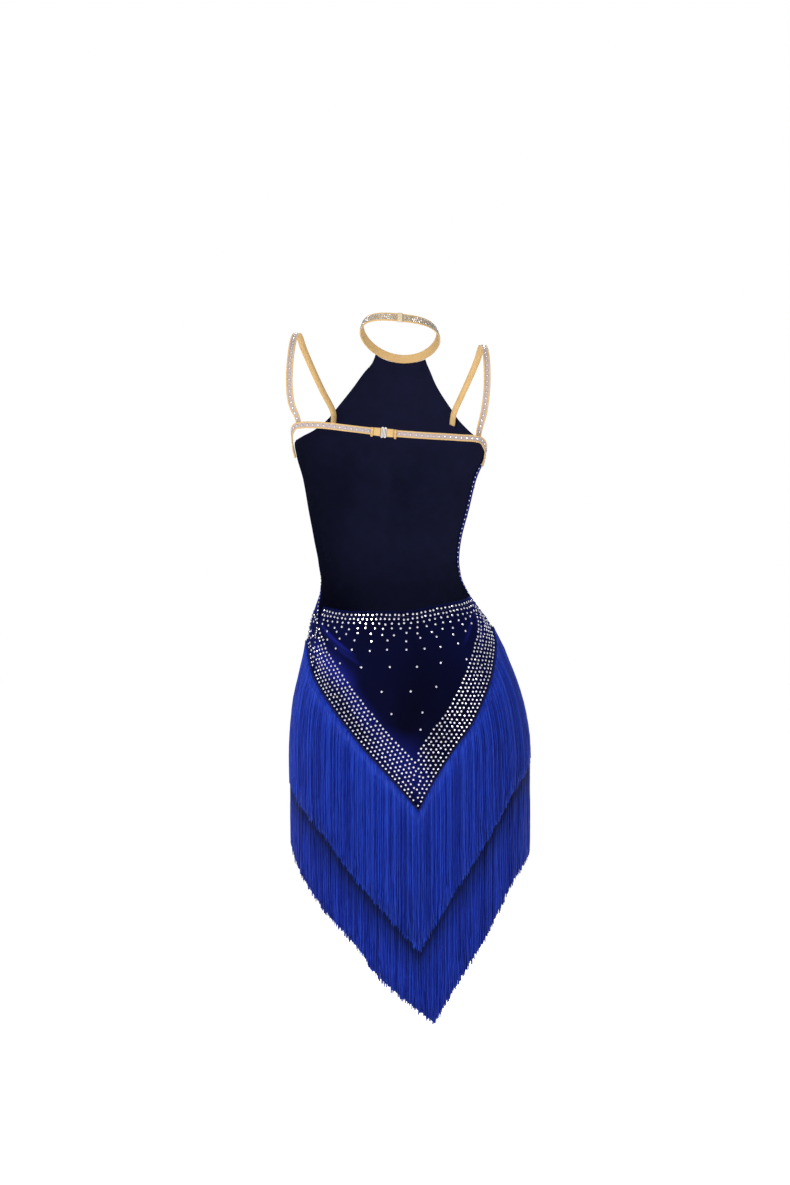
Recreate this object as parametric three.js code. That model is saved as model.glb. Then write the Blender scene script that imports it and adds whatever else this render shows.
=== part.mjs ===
// A latin dance dress as it is worn, hollow, with no wearer in it. Millimetres, +Z up, +Y towards the
// wearer's front, +X towards the wearer's right hand. The origin is midway between the tops of the two
// shoulder straps. A place on the dress is given by its turn and its drop. The turn is in degrees round
// from the centre back (0) by the right side (90) to the centre front (180) and the left side (270). The
// drop is the depth below the origin.
import * as THREE from "three";

// ---------------------------------------------------------------- driving dimensions

const CLOTH = 2; // thickness of a cloth wall
const SEAM = 0.3; // gap between two pieces that are sewn together
const LAY = 0.5; // how far a tape is kept off the curved cloth that it lies on
const STRAP = { wide: 10, thick: 2, backSteps: 28, shoulderSteps: 32 };
// A strap is doubled back at the clasp, where it is thick times its own thickness.
const FOLD = { long: 9, thick: 1.6 };
const NECK = { middle: 15, half: 60.5, back: 50, front: 62, lean: 4, roll: -0.096, tall: 12, open: 0.2 };
const NECK_RISE = { back: 29.5, fall: 54, power: 1.5 }; // its height at the back, and its fall to the front
const NECK_TAB = { width: 7, tall: 14, thick: 1.6, off: 0.7 }; // off: how far it stands off the neckband
const TAPE = { tall: 8, thick: 1.6 }; // the strip that a fringe hangs from
// share: a strand's share of the pitch. uneven: how far apart the strands end, from the sine of their
// number times turn. slack: above 1, a strand's joints lie closer together near its tape. drapeBy: its
// share down, where it has moved out all its way.
const STRAND = { share: 0.72, uneven: 4, turn: 2.4, slack: 1.4, drapeBy: 1 / 3 };
const STRANDS = { upperBack: 60, upperFront: 54, lowerBack: 58, lowerFront: 50 };
const HIP_DROP = 620; // where the distance round the dress is measured
const CLASP = { plate: 4.1, tall: 16, thick: 2.8, corner: 1.2 };
// A keeper is a loop round a strap. away: from the strap's end at the clasp. deep and tall: the room
// round the strap.
const KEEPER = { away: 12, wide: 4, wall: 1, below: 3.5, deep: 1.2, tall: 0.5 };

// Seams at the two sides, where the back yoke meets the front panel.
const RIGHT_SEAM = 79;
const LEFT_SEAM = 296.5;
const SEAM_TURN = 0.1; // half the seam's gap, in degrees

// Horizontal sections of the dress from the neck down to the lowest hem. half: half the width.
// back and front: how far the cloth lies behind and in front of the line of the shoulders.
const FIGURE = [
  { drop: 20, middle: 13, half: 62, back: 50, front: 62 },
  { drop: 60, middle: 9, half: 92, back: 70, front: 73 },
  { drop: 110, middle: 4, half: 130, back: 88, front: 87 },
  { drop: 150, middle: 1, half: 146, back: 93, front: 95 },
  { drop: 175, middle: 1, half: 142, back: 92, front: 98 },
  { drop: 210, middle: -1, half: 130.5, back: 89, front: 99 },
  { drop: 255, middle: -2.5, half: 121, back: 84, front: 97 },
  { drop: 300, middle: -4, half: 111, back: 78, front: 91 },
  { drop: 335, middle: -2, half: 106, back: 75, front: 87 },
  { drop: 355, middle: 1.5, half: 105.5, back: 75, front: 87 },
  { drop: 375, middle: 5.5, half: 110, back: 79, front: 90 },
  { drop: 400, middle: 10, half: 122, back: 88, front: 94 },
  { drop: 420, middle: 14, half: 132.5, back: 94, front: 97 },
  { drop: 450, middle: 18.5, half: 142, back: 103, front: 100 },
  { drop: 480, middle: 22.5, half: 149, back: 110, front: 102 },
  { drop: 510, middle: 25.5, half: 158, back: 115, front: 103 },
  { drop: 540, middle: 27, half: 166, back: 118, front: 103 },
  { drop: 570, middle: 28.5, half: 171, back: 120, front: 103 },
  { drop: 600, middle: 29.5, half: 174, back: 121, front: 103 },
  { drop: 640, middle: 30, half: 175, back: 121, front: 103 },
  { drop: 1040, middle: 31, half: 174.5, back: 121, front: 103 },
];

// The two soft cups of the front, as bumps on the sections.
const CUP = { away: 68, drop: 222, wide: 46, tall: 48, deep: 27 };

// Drag folds of the stretched velvet: soft ridges from one place to another.
const FOLDS = [
  { fromTurn: 297, fromDrop: 422, toTurn: 330, toDrop: 474, wide: 7, high: 2.2 },
  { fromTurn: 300, fromDrop: 462, toTurn: 324, toDrop: 545, wide: 11, high: 1.6 },
  { fromTurn: 73, fromDrop: 398, toTurn: 61, toDrop: 452, wide: 6, high: 1.6 },
  { fromTurn: 63, fromDrop: 402, toTurn: 44, toDrop: 472, wide: 7, high: 1.3 },
];
const TURN_MM = 2.4; // one degree of turn at the hips, for measuring along a fold

// The side edges of the front panel: from the neckband down each armhole to the underarm corner, then
// down the open back to the side seam.
const SIDE_EDGE = [
  { drop: 20, right: 142, left: 218 },
  { drop: 60, right: 140, left: 220 },
  { drop: 110, right: 133, left: 226 },
  { drop: 132, right: 125, left: 235 },
  { drop: 145, right: 116, left: 250 },
  { drop: 153, right: 106, left: 262 },
  { drop: 162, right: 91, left: 264 },
  { drop: 170, right: 79, left: 264 },
  { drop: 180, right: 77, left: 264 },
  { drop: 200, right: 74, left: 263 },
  { drop: 300, right: 73, left: 263 },
  { drop: 340, right: 74, left: 265 },
  { drop: 365, right: 76, left: 272 },
  { drop: 385, right: 79, left: 286 },
  { drop: 402, right: 79, left: 296.5 },
  { drop: 470, right: 79, left: 296.5 },
];
const FRONT_COLUMNS = 26; // how many cells round the cloth of the front and of the back
const BACK_COLUMNS = 22;
const YOKE_ROWS = 12; // cells down the back yoke and the under-layer
const UNDER_ROWS = 5;
const LARGEST_STEP = 24; // between two rows of points down the front panel
const TOP_REACH = 110; // the front panel's rows follow the neckband above this drop,
const HEM_REACH = 300; // and the hem of the yoke below this one

// The top edge of the back yoke.
const BACK_NECK = [
  { turn: -63.5, drop: 400 },
  { turn: -30, drop: 407 },
  { turn: 0, drop: 407 },
  { turn: 35, drop: 396.5 },
  { turn: 79, drop: 385 },
];

// The two tiers of fringe. Each runs round the dress from a point at the back. The table of each side
// gives how far away from the point it is, in degrees, the drop of the edge that it hangs from, and the
// drop of its hem.
const UPPER = {
  apex: 4,
  right: [
    { away: 0, top: 699, hem: 904 },
    { away: 7, top: 658, hem: 868 },
    { away: 17.5, top: 610, hem: 817 },
    { away: 28, top: 574, hem: 773 },
    { away: 41, top: 528, hem: 720 },
    { away: 54, top: 491, hem: 675 },
    { away: 68.5, top: 457, hem: 648 },
    { away: 85, top: 428, hem: 628 },
    { away: 130, top: 478, hem: 690 },
    { away: 176, top: 530, hem: 744 },
  ],
  left: [
    { away: 0, top: 699, hem: 904 },
    { away: 13, top: 653, hem: 859 },
    { away: 26, top: 611, hem: 816 },
    { away: 38, top: 572, hem: 775 },
    { away: 51, top: 535, hem: 733 },
    { away: 68, top: 498, hem: 697 },
    { away: 93, top: 448, hem: 660 },
    { away: 140, top: 489, hem: 702 },
    { away: 184, top: 530, hem: 744 },
  ],
};
const LOWER = {
  apex: 11,
  right: [
    { away: 0, top: 795, hem: 1009 },
    { away: 5, top: 770, hem: 984 },
    { away: 15, top: 723, hem: 937 },
    { away: 25, top: 683, hem: 897 },
    { away: 35, top: 640, hem: 854 },
    { away: 45, top: 600, hem: 814 },
    { away: 54, top: 578, hem: 792 },
    { away: 77, top: 553, hem: 767 },
    { away: 124, top: 590, hem: 804 },
    { away: 169, top: 635, hem: 849 },
  ],
  left: [
    { away: 0, top: 795, hem: 1009 },
    { away: 12, top: 766, hem: 980 },
    { away: 26.5, top: 728, hem: 942 },
    { away: 38.5, top: 682, hem: 896 },
    { away: 50, top: 651, hem: 865 },
    { away: 69.5, top: 600, hem: 814 },
    { away: 87.5, top: 558, hem: 772 },
    { away: 100, top: 537, hem: 751 },
    { away: 145, top: 590, hem: 804 },
    { away: 191, top: 635, hem: 849 },
  ],
};

// The paths of the straps: x and y across, and the drop. A shoulder strap starts behind the back strap.
const SHOULDER_STRAPS = {
  right: [
    { x: 139.5, y: -71, drop: 110 },
    { x: 143.5, y: -72, drop: 72 },
    { x: 143, y: -52, drop: 29 },
    { x: 138, y: 0, drop: 9 },
    { x: 131, y: 30, drop: 30 },
    { x: 119, y: 45, drop: 58 },
    { x: 107, y: 52, drop: 84 },
  ],
  left: [
    { x: -145.5, y: -69, drop: 100 },
    { x: -149, y: -70, drop: 66 },
    { x: -145, y: -48, drop: 11 },
    { x: -138, y: 0, drop: -9 },
    { x: -130, y: 30, drop: 12 },
    { x: -117, y: 45, drop: 42 },
    { x: -102, y: 52, drop: 74 },
  ],
};
// Where a shoulder strap starts. right and left: how far from the clasp. It reaches from below to above
// that place.
const STRAP_JOINT = { right: 142, left: 130.5, below: 4, above: 9, inside: 3.8 };
// Where a shoulder strap slips behind the front panel.
const STRAP_FRONT = {
  right: [
    { turn: 132, drop: 106, out: -4.5 },
    { turn: 137, drop: 124, out: -4.3 },
  ],
  left: [
    { turn: 227.5, drop: 104, out: -5 },
    { turn: 222, drop: 122, out: -4.8 },
  ],
};
const BACK_STRAPS = {
  right: [
    { x: -4.4, y: -94, drop: 144 },
    { x: 50, y: -96, drop: 148 },
    { x: 100, y: -85, drop: 150.5 },
    { x: 134, y: -71, drop: 153.5 },
    { x: 141.5, y: -56, drop: 163 },
    { x: 142, y: -30, drop: 172 },
  ],
  left: [
    { x: -13.6, y: -94, drop: 143 },
    { x: -60, y: -95, drop: 137.5 },
    { x: -105, y: -83, drop: 132 },
    { x: -138, y: -68.5, drop: 132.5 },
    { x: -144.5, y: -54, drop: 138 },
    { x: -146, y: -18, drop: 150 },
  ],
};
// Where a half of the back strap lies on the front panel's side edge.
const BACK_STRAP_END = {
  right: [
    { turn: 79.5, drop: 179, out: 1.7 },
    { turn: 82, drop: 190, out: 1.7 },
  ],
  left: [
    { turn: 268, drop: 163, out: 1.7 },
    { turn: 266, drop: 176, out: 1.7 },
  ],
};

// Which way the straps face. A back strap faces backwards, and sideways by its place times aside. A
// shoulder strap lies on the back strap at its start, on the shoulder blade above that, on top of the
// shoulder at y = 0, and on the chest in front. Its turn is complete at y = deep.
const BACK_STRAP_FACE = { aside: 0.35 };
const SHOULDER_FACE = { deep: 55, blendStart: 40, blendOver: 30 };
const CHEST_FACE = { aside: 0.6, ahead: 0.78, up: 0.15 };

// ---------------------------------------------------------------- shared functions

const radians = THREE.MathUtils.degToRad;
const lerp = THREE.MathUtils.lerp;

// A column of a table at a place between its rows, on a smooth curve that never overshoots them. The key
// column rises down the table.
function lookUp(table, key, column, at) {
  const last = table.length - 1;
  const rise = (i, name) => table[i + 1][name] - table[i][name];
  const secant = (i) => rise(i, column) / rise(i, key);
  const slope = (i) => {
    if (i === 0 || i === last) return secant(Math.min(i, last - 1));
    const before = secant(i - 1);
    const after = secant(i);
    return before * after > 0 ? (2 * before * after) / (before + after) : 0;
  };
  let i = 0;
  while (i < last - 1 && table[i + 1][key] < at) i += 1;
  const span = table[i + 1][key] - table[i][key];
  const t = THREE.MathUtils.clamp((at - table[i][key]) / span, 0, 1);
  const between = lerp(table[i][column], table[i + 1][column], t * t * (3 - 2 * t));
  return between + span * t * (1 - t) * ((1 - t) * slope(i) - t * slope(i + 1));
}

// How far the front stands out at its cups.
function cupHeight(angle, drop, aside) {
  if (Math.cos(angle) > 0) return 0;
  const sideways = (Math.abs(aside) - CUP.away) / CUP.wide;
  const down = (drop - CUP.drop) / CUP.tall;
  return CUP.deep * Math.exp(-(sideways ** 2) - down ** 2) * Math.cos(angle) ** 2;
}

// How far the cloth stands out on its drag folds.
function foldHeight(turn, drop) {
  const round = ((turn % 360) + 360) % 360;
  let height = 0;
  for (const fold of FOLDS) {
    const alongTurn = (fold.toTurn - fold.fromTurn) * TURN_MM;
    const alongDrop = fold.toDrop - fold.fromDrop;
    const length = Math.hypot(alongTurn, alongDrop);
    const dTurn = (round - fold.fromTurn) * TURN_MM;
    const dDrop = drop - fold.fromDrop;
    const share = (dTurn * alongTurn + dDrop * alongDrop) / length ** 2;
    const aside = (dTurn * alongDrop - dDrop * alongTurn) / length;
    if (share < 0 || share > 1) continue;
    height += fold.high * Math.sin(Math.PI * share) * Math.exp(-((aside / fold.wide) ** 2));
  }
  return height;
}

// The garment's surface, with no thickness.
function skin(turn, drop) {
  const angle = radians(turn);
  const aside = lookUp(FIGURE, "drop", "half", drop) * Math.sin(angle);
  const deep = lookUp(FIGURE, "drop", Math.cos(angle) > 0 ? "back" : "front", drop);
  const x = lookUp(FIGURE, "drop", "middle", drop) + aside;
  return new THREE.Vector3(x, -deep * Math.cos(angle) + cupHeight(angle, drop, aside), -drop);
}

// A point that stands out from the garment's surface, or in from it if out is negative.
function onDress(turn, drop, out) {
  const step = 0.05; // degrees and millimetres to the points that give the surface's directions
  const round = skin(turn + step, drop).sub(skin(turn - step, drop));
  const down = skin(turn, drop + step).sub(skin(turn, drop - step));
  const normal = down.cross(round).normalize();
  return skin(turn, drop).addScaledVector(normal, out + foldHeight(turn, drop));
}

// A closed wall between two matching grids of points. point(row, column, side) gives the outer grid at
// side 1 and the inner one at side 0. Rows run down, and columns round towards a greater turn. Only
// cells that kept allows are there.
function wall(rows, columns, point, kept = () => true) {
  const line = (r, side) => Array.from({ length: columns + 1 }, (_, c) => point(r, c, side));
  const grids = [0, 1].map((side) => Array.from({ length: rows + 1 }, (_, r) => line(r, side)));
  const corners = [];
  const quad = (a, b, c, d) => corners.push(a, b, c, a, c, d);
  const there = (r, c) => r >= 0 && r < rows && c >= 0 && c < columns && kept(r, c);
  for (let r = 0; r < rows; r += 1) {
    for (let c = 0; c < columns; c += 1) {
      if (!there(r, c)) continue;
      const [i, o] = grids;
      quad(o[r][c], o[r + 1][c], o[r + 1][c + 1], o[r][c + 1]);
      quad(i[r][c], i[r][c + 1], i[r + 1][c + 1], i[r + 1][c]);
      if (!there(r - 1, c)) quad(i[r][c], o[r][c], o[r][c + 1], i[r][c + 1]);
      if (!there(r + 1, c)) quad(i[r + 1][c], i[r + 1][c + 1], o[r + 1][c + 1], o[r + 1][c]);
      if (!there(r, c - 1)) quad(i[r][c], i[r + 1][c], o[r + 1][c], o[r][c]);
      if (!there(r, c + 1)) quad(i[r][c + 1], o[r][c + 1], o[r + 1][c + 1], i[r + 1][c + 1]);
    }
  }
  return new THREE.BufferGeometry().setFromPoints(corners);
}

// Evenly spaced places along a smooth path, each with its directions and its distance from the path's
// start. outward(p) points away from the wearer.
function stations(points, steps, outward) {
  const curve = new THREE.CatmullRomCurve3(points, false, "centripetal");
  return Array.from({ length: steps + 1 }, (_, s) => {
    const at = curve.getPointAt(s / steps);
    const tangent = curve.getTangentAt(s / steps);
    const normal = outward(at).addScaledVector(tangent, -outward(at).dot(tangent)).normalize();
    const across = new THREE.Vector3().crossVectors(tangent, normal);
    return { at, normal, across, from: (s / steps) * curve.getLength() };
  });
}

// A flat strap through its stations. thick(from) is its thickness at a distance from its start.
function ribbon(places, thick = () => STRAP.thick) {
  return wall(1, places.length - 1, (row, column, side) => {
    const { at, normal, across, from } = places[column];
    const up = side ? thick(from) - STRAP.thick / 2 : -STRAP.thick / 2;
    const aside = (row - 0.5) * STRAP.wide;
    return at.clone().addScaledVector(across, aside).addScaledVector(normal, up);
  });
}

const path = (rows) => rows.map(({ x, y, drop }) => new THREE.Vector3(x, y, -drop));

function mesh(name, geometry, material) {
  const made = new THREE.Mesh(geometry, material);
  made.name = name;
  return made;
}

// ---------------------------------------------------------------- materials

const velvet = new THREE.MeshStandardMaterial({ color: 0x0c1240, roughness: 0.85, metalness: 0 });
const underCloth = new THREE.MeshStandardMaterial({ color: 0x101a66, roughness: 0.9, metalness: 0 });
const fringeYarn = new THREE.MeshStandardMaterial({ color: 0x1a37a6, roughness: 0.6, metalness: 0 });
const nudeElastic = new THREE.MeshStandardMaterial({ color: 0xd9b48a, roughness: 0.8, metalness: 0 });
const clearPlastic = new THREE.MeshStandardMaterial({ color: 0xc9c4c4, roughness: 0.25, metalness: 0 });

// ---------------------------------------------------------------- the cloth panels

// The drop of a tier's edge or hem, all round the dress.
function tierLine(tier, column, turn) {
  const round = ((turn - tier.apex) % 360 + 360) % 360 + tier.apex;
  if (round <= 180) return lookUp(tier.right, "away", column, round - tier.apex);
  return lookUp(tier.left, "away", column, tier.apex + 360 - round);
}

const yokeHem = (turn) => tierLine(UPPER, "top", turn) + TAPE.tall;

// The neckband's middle line at a turn round the neck.
function neckPlace(turn) {
  const angle = radians(turn);
  const rise = NECK_RISE.back - NECK_RISE.fall * ((1 - Math.cos(angle)) / 2) ** NECK_RISE.power;
  const x = NECK.half * Math.sin(angle);
  return { angle, x, z: rise + NECK.roll * x };
}

// The drops of a table, with even steps between those that lie far apart.
function evenLevels(table) {
  const levels = [table[0].drop];
  for (let i = 1; i < table.length; i += 1) {
    const start = table[i - 1].drop;
    const steps = Math.ceil((table[i].drop - start) / LARGEST_STEP);
    for (let k = 1; k <= steps; k += 1) levels.push(lerp(start, table[i].drop, k / steps));
  }
  return levels;
}

// The front: one panel from under the neckband, over the cups and down to the edge that its fringe hangs
// from.
function frontPanel() {
  const levels = evenLevels(SIDE_EDGE);
  const first = levels[0];
  const last = levels[levels.length - 1];
  const down = (level, turn) => {
    const topShift = NECK.tall / 2 + SEAM - neckPlace(turn).z - first;
    const hemShift = yokeHem(turn) - last;
    const nearTop = 1 - THREE.MathUtils.smoothstep(level, first, TOP_REACH);
    return level + topShift * nearTop + hemShift * THREE.MathUtils.smoothstep(level, HEM_REACH, last);
  };
  return wall(levels.length - 1, FRONT_COLUMNS, (row, column, side) => {
    const right = lookUp(SIDE_EDGE, "drop", "right", levels[row]) + SEAM_TURN;
    const left = lookUp(SIDE_EDGE, "drop", "left", levels[row]) - SEAM_TURN;
    const turn = lerp(right, left, column / FRONT_COLUMNS);
    return onDress(turn, down(levels[row], turn), side ? 0 : -CLOTH);
  });
}

// The back: a yoke from the low back neckline down to the point that the back fringe hangs from.
function backYoke() {
  return wall(YOKE_ROWS, BACK_COLUMNS, (row, column, side) => {
    const turn = lerp(LEFT_SEAM - 360 + SEAM_TURN, RIGHT_SEAM - SEAM_TURN, column / BACK_COLUMNS);
    const drop = lerp(lookUp(BACK_NECK, "turn", "drop", turn), yokeHem(turn), row / YOKE_ROWS);
    return onDress(turn, drop, side ? 0 : -CLOTH);
  });
}

// The under-layer that carries the lower tier, sewn on below the yoke or the front panel.
function underskirt(fromTurn, toTurn, columns) {
  return wall(UNDER_ROWS, columns, (row, column, side) => {
    const turn = lerp(fromTurn + SEAM_TURN, toTurn - SEAM_TURN, column / columns);
    const drop = lerp(yokeHem(turn) + SEAM, tierLine(LOWER, "top", turn), row / UNDER_ROWS);
    return onDress(turn, drop, side ? 0 : -CLOTH);
  });
}

// ---------------------------------------------------------------- the fringe

// Turns that lie evenly along the hips between two turns.
function evenTurns(fromTurn, toTurn) {
  const samples = 240;
  const turns = Array.from({ length: samples + 1 }, (_, i) => lerp(fromTurn, toTurn, i / samples));
  const lengths = [0];
  for (let i = 1; i <= samples; i += 1) {
    lengths.push(lengths[i - 1] + skin(turns[i], HIP_DROP).distanceTo(skin(turns[i - 1], HIP_DROP)));
  }
  return (share) => {
    const wanted = share * lengths[samples];
    let i = 1;
    while (i < samples && lengths[i] < wanted) i += 1;
    return lerp(turns[i - 1], turns[i], (wanted - lengths[i - 1]) / (lengths[i] - lengths[i - 1]));
  };
}

// One stretch of fringe: a tape, lifted clear of what it lies on, with strands that hang side by side
// and apart. They move out by drape as they fall.
function fringe(tier, fromTurn, toTurn, { strands, joints, tapeTop, drape }) {
  const turnAt = evenTurns(fromTurn + SEAM_TURN, toTurn - SEAM_TURN);
  const margin = (1 - STRAND.share) / 2;
  const strandOf = (line) => Math.floor(line / 2);
  const lineTurn = (line) => turnAt((strandOf(line) + (line % 2 ? 1 - margin : margin)) / strands);
  const point = (row, line, side) => {
    const turn = lineTurn(line);
    const top = tierLine(tier, "top", turn) + tapeTop;
    const lift = LAY + (side ? TAPE.thick : 0);
    if (row < 2) return onDress(turn, top + row * TAPE.tall, lift);
    const middle = turnAt((strandOf(line) + 0.5) / strands);
    const short = STRAND.uneven * Math.abs(Math.sin(STRAND.turn * strandOf(line)));
    const share = ((row - 1) / joints) ** STRAND.slack;
    const drop = lerp(top + TAPE.tall, tierLine(tier, "hem", middle) - short, share);
    return onDress(turn, drop, lift + drape * Math.min(1, share / STRAND.drapeBy));
  };
  return wall(joints + 1, 2 * strands - 1, point, (row, column) => row === 0 || column % 2 === 0);
}

// ---------------------------------------------------------------- straps, neckband and clasp

function neckband() {
  const columns = 48;
  return wall(1, columns, (row, column, side) => {
    const { angle, z } = neckPlace(lerp(NECK.open, 360 - NECK.open, column / columns));
    const grow = (row ? 0 : -NECK.lean) + (side ? 0 : -CLOTH);
    const deep = Math.cos(angle) > 0 ? NECK.back : NECK.front;
    const x = NECK.middle + (NECK.half + grow) * Math.sin(angle);
    return new THREE.Vector3(x, -(deep + grow) * Math.cos(angle), z + (0.5 - row) * NECK.tall);
  });
}

// The tab that closes the neckband at the centre back.
function neckTab() {
  const columns = 4;
  const reach = THREE.MathUtils.radToDeg(NECK_TAB.width / 2 / NECK.half);
  return wall(1, columns, (row, column, side) => {
    const { angle, z } = neckPlace(lerp(-reach, reach, column / columns));
    const lean = NECK.lean * (NECK_TAB.tall / NECK.tall);
    const grow = (row ? 0 : -lean) + NECK_TAB.off + (side ? NECK_TAB.thick : 0);
    const x = NECK.middle + (NECK.half + grow) * Math.sin(angle);
    return new THREE.Vector3(x, -(NECK.back + grow) * Math.cos(angle), z + (0.5 - row) * NECK_TAB.tall);
  });
}

// Half of the back strap runs from the clasp to the side, turns down the armhole and ends on the front
// panel.
function backStrapStations(side, steps) {
  const end = BACK_STRAP_END[side].map(({ turn, drop, out }) => onDress(turn, drop, out));
  const outward = (p) => new THREE.Vector3(p.x * BACK_STRAP_FACE.aside, p.y, 0).normalize();
  return stations([...path(BACK_STRAPS[side]), ...end], steps, outward);
}

// The place on a half of the back strap that is a distance from the clasp.
function backStrapPlace(side, fromClasp) {
  const samples = 120;
  return backStrapStations(side, samples).find(({ from }) => from > fromClasp);
}

function backStrap(side) {
  const doubled = (from) => (from < FOLD.long ? FOLD.thick : 1) * STRAP.thick;
  return ribbon(backStrapStations(side, STRAP.backSteps), doubled);
}

// A shoulder strap starts inside the back strap, goes over the shoulder and ends inside the front panel.
function shoulderStrap(side) {
  const joint = backStrapPlace(side, STRAP_JOINT[side]);
  const start = joint.at.clone().addScaledVector(joint.normal, -STRAP_JOINT.inside);
  const above = new THREE.Vector3(0, 0, STRAP_JOINT.above);
  const below = new THREE.Vector3(0, 0, -STRAP_JOINT.below);
  const end = STRAP_FRONT[side].map(({ turn, drop, out }) => onDress(turn, drop, out));
  const aside = side === "right" ? CHEST_FACE.aside : -CHEST_FACE.aside;
  const chest = new THREE.Vector3(aside, CHEST_FACE.ahead, CHEST_FACE.up);
  const outward = (p) => {
    const { deep, blendStart, blendOver } = SHOULDER_FACE;
    const low = THREE.MathUtils.clamp((start.z + blendStart - p.z) / blendOver, 0, 1);
    const blade = new THREE.Vector3(0, -1, 0).lerp(joint.normal, low);
    const share = THREE.MathUtils.clamp(p.y / deep, -1, 1);
    const up = new THREE.Vector3(0, 0, 1 - Math.abs(share));
    return up.addScaledVector(share < 0 ? blade : chest, Math.abs(share)).normalize();
  };
  const foot = [start.clone().add(below), start.clone().add(above)];
  return ribbon(stations([...foot, ...path(SHOULDER_STRAPS[side]), ...end], STRAP.shoulderSteps, outward));
}

function roundedPlate(width, height, corner) {
  const x = width / 2;
  const y = height / 2;
  const outline = new THREE.Shape();
  outline.moveTo(-x + corner, -y);
  outline.lineTo(x - corner, -y).absarc(x - corner, -y + corner, corner, -Math.PI / 2, 0);
  outline.lineTo(x, y - corner).absarc(x - corner, y - corner, corner, 0, Math.PI / 2);
  outline.lineTo(-x + corner, y).absarc(-x + corner, y - corner, corner, Math.PI / 2, Math.PI);
  outline.lineTo(-x, -y + corner).absarc(-x + corner, -y + corner, corner, Math.PI, 1.5 * Math.PI);
  return outline;
}

// One of the two plates of the clasp, standing in the line of the strap.
function claspPlate(name, sign) {
  const outline = roundedPlate(CLASP.plate, CLASP.tall, CLASP.corner);
  const options = { depth: CLASP.thick, bevelEnabled: false, curveSegments: 3 };
  const geometry = new THREE.ExtrudeGeometry(outline, options);
  geometry.translate((sign * (CLASP.plate + SEAM)) / 2, 0, -CLASP.thick / 2);
  geometry.rotateX(Math.PI / 2);
  const made = mesh(name, geometry, clearPlastic);
  const left = path(BACK_STRAPS.left)[0];
  const right = path(BACK_STRAPS.right)[0];
  made.position.copy(left.clone().add(right).multiplyScalar(0.5));
  made.rotation.y = Math.atan2(left.z - right.z, right.x - left.x);
  return made;
}

// A small loop round the strap that keeps its doubled end flat.
function keeper(side) {
  const hole = { deep: STRAP.thick / 2 + KEEPER.deep, tall: STRAP.wide / 2 + KEEPER.tall };
  const deep = hole.deep + KEEPER.wall;
  const top = hole.tall + KEEPER.wall;
  const low = -hole.tall - KEEPER.below;
  const outline = new THREE.Shape();
  outline.moveTo(-deep, low).lineTo(deep, low).lineTo(deep, top).lineTo(-deep, top).closePath();
  const inside = new THREE.Path();
  inside.moveTo(-hole.deep, -hole.tall).lineTo(-hole.deep, hole.tall).lineTo(hole.deep, hole.tall);
  inside.lineTo(hole.deep, -hole.tall).closePath();
  outline.holes.push(inside);
  const geometry = new THREE.ExtrudeGeometry(outline, { depth: KEEPER.wide, bevelEnabled: false });
  geometry.translate(0, 0, -KEEPER.wide / 2);
  const { at, normal, across } = backStrapPlace(side, KEEPER.away);
  const up = across.multiplyScalar(Math.sign(across.z));
  const basis = new THREE.Matrix4().makeBasis(normal, up, new THREE.Vector3().crossVectors(normal, up));
  const made = mesh(`strap_keeper_${side}`, geometry, nudeElastic);
  made.applyMatrix4(basis.setPosition(at));
  return made;
}

// ---------------------------------------------------------------- the dress

const dress = new THREE.Group();

const cloth = new THREE.Group();
cloth.add(mesh("front_panel", frontPanel(), velvet));
cloth.add(mesh("back_yoke", backYoke(), velvet));
cloth.add(mesh("underskirt_back", underskirt(LEFT_SEAM - 360, RIGHT_SEAM, BACK_COLUMNS), underCloth));
cloth.add(mesh("underskirt_front", underskirt(RIGHT_SEAM, LEFT_SEAM, FRONT_COLUMNS), underCloth));

const fringes = new THREE.Group();
const upper = { joints: 5, tapeTop: 0, drape: 3.4 };
const lower = { joints: 2, tapeTop: -TAPE.tall, drape: 0 };
const upperBack = fringe(UPPER, LEFT_SEAM - 360, RIGHT_SEAM, { ...upper, strands: STRANDS.upperBack });
const upperFront = fringe(UPPER, RIGHT_SEAM, LEFT_SEAM, { ...upper, strands: STRANDS.upperFront });
const lowerBack = fringe(LOWER, LEFT_SEAM - 360, RIGHT_SEAM, { ...lower, strands: STRANDS.lowerBack });
const lowerFront = fringe(LOWER, RIGHT_SEAM, LEFT_SEAM, { ...lower, strands: STRANDS.lowerFront });
fringes.add(mesh("fringe_upper_back", upperBack, fringeYarn));
fringes.add(mesh("fringe_upper_front", upperFront, fringeYarn));
fringes.add(mesh("fringe_lower_back", lowerBack, fringeYarn));
fringes.add(mesh("fringe_lower_front", lowerFront, fringeYarn));

const straps = new THREE.Group();
straps.add(mesh("neckband", neckband(), nudeElastic));
straps.add(mesh("neckband_tab", neckTab(), nudeElastic));
for (const side of ["left", "right"]) {
  straps.add(mesh(`shoulder_strap_${side}`, shoulderStrap(side), nudeElastic));
  straps.add(mesh(`back_strap_${side}`, backStrap(side), nudeElastic));
  straps.add(keeper(side));
}
straps.add(claspPlate("clasp_loop", -1));
straps.add(claspPlate("clasp_hook", 1));

dress.add(cloth, fringes, straps);

export default dress;
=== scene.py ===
import math

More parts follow.
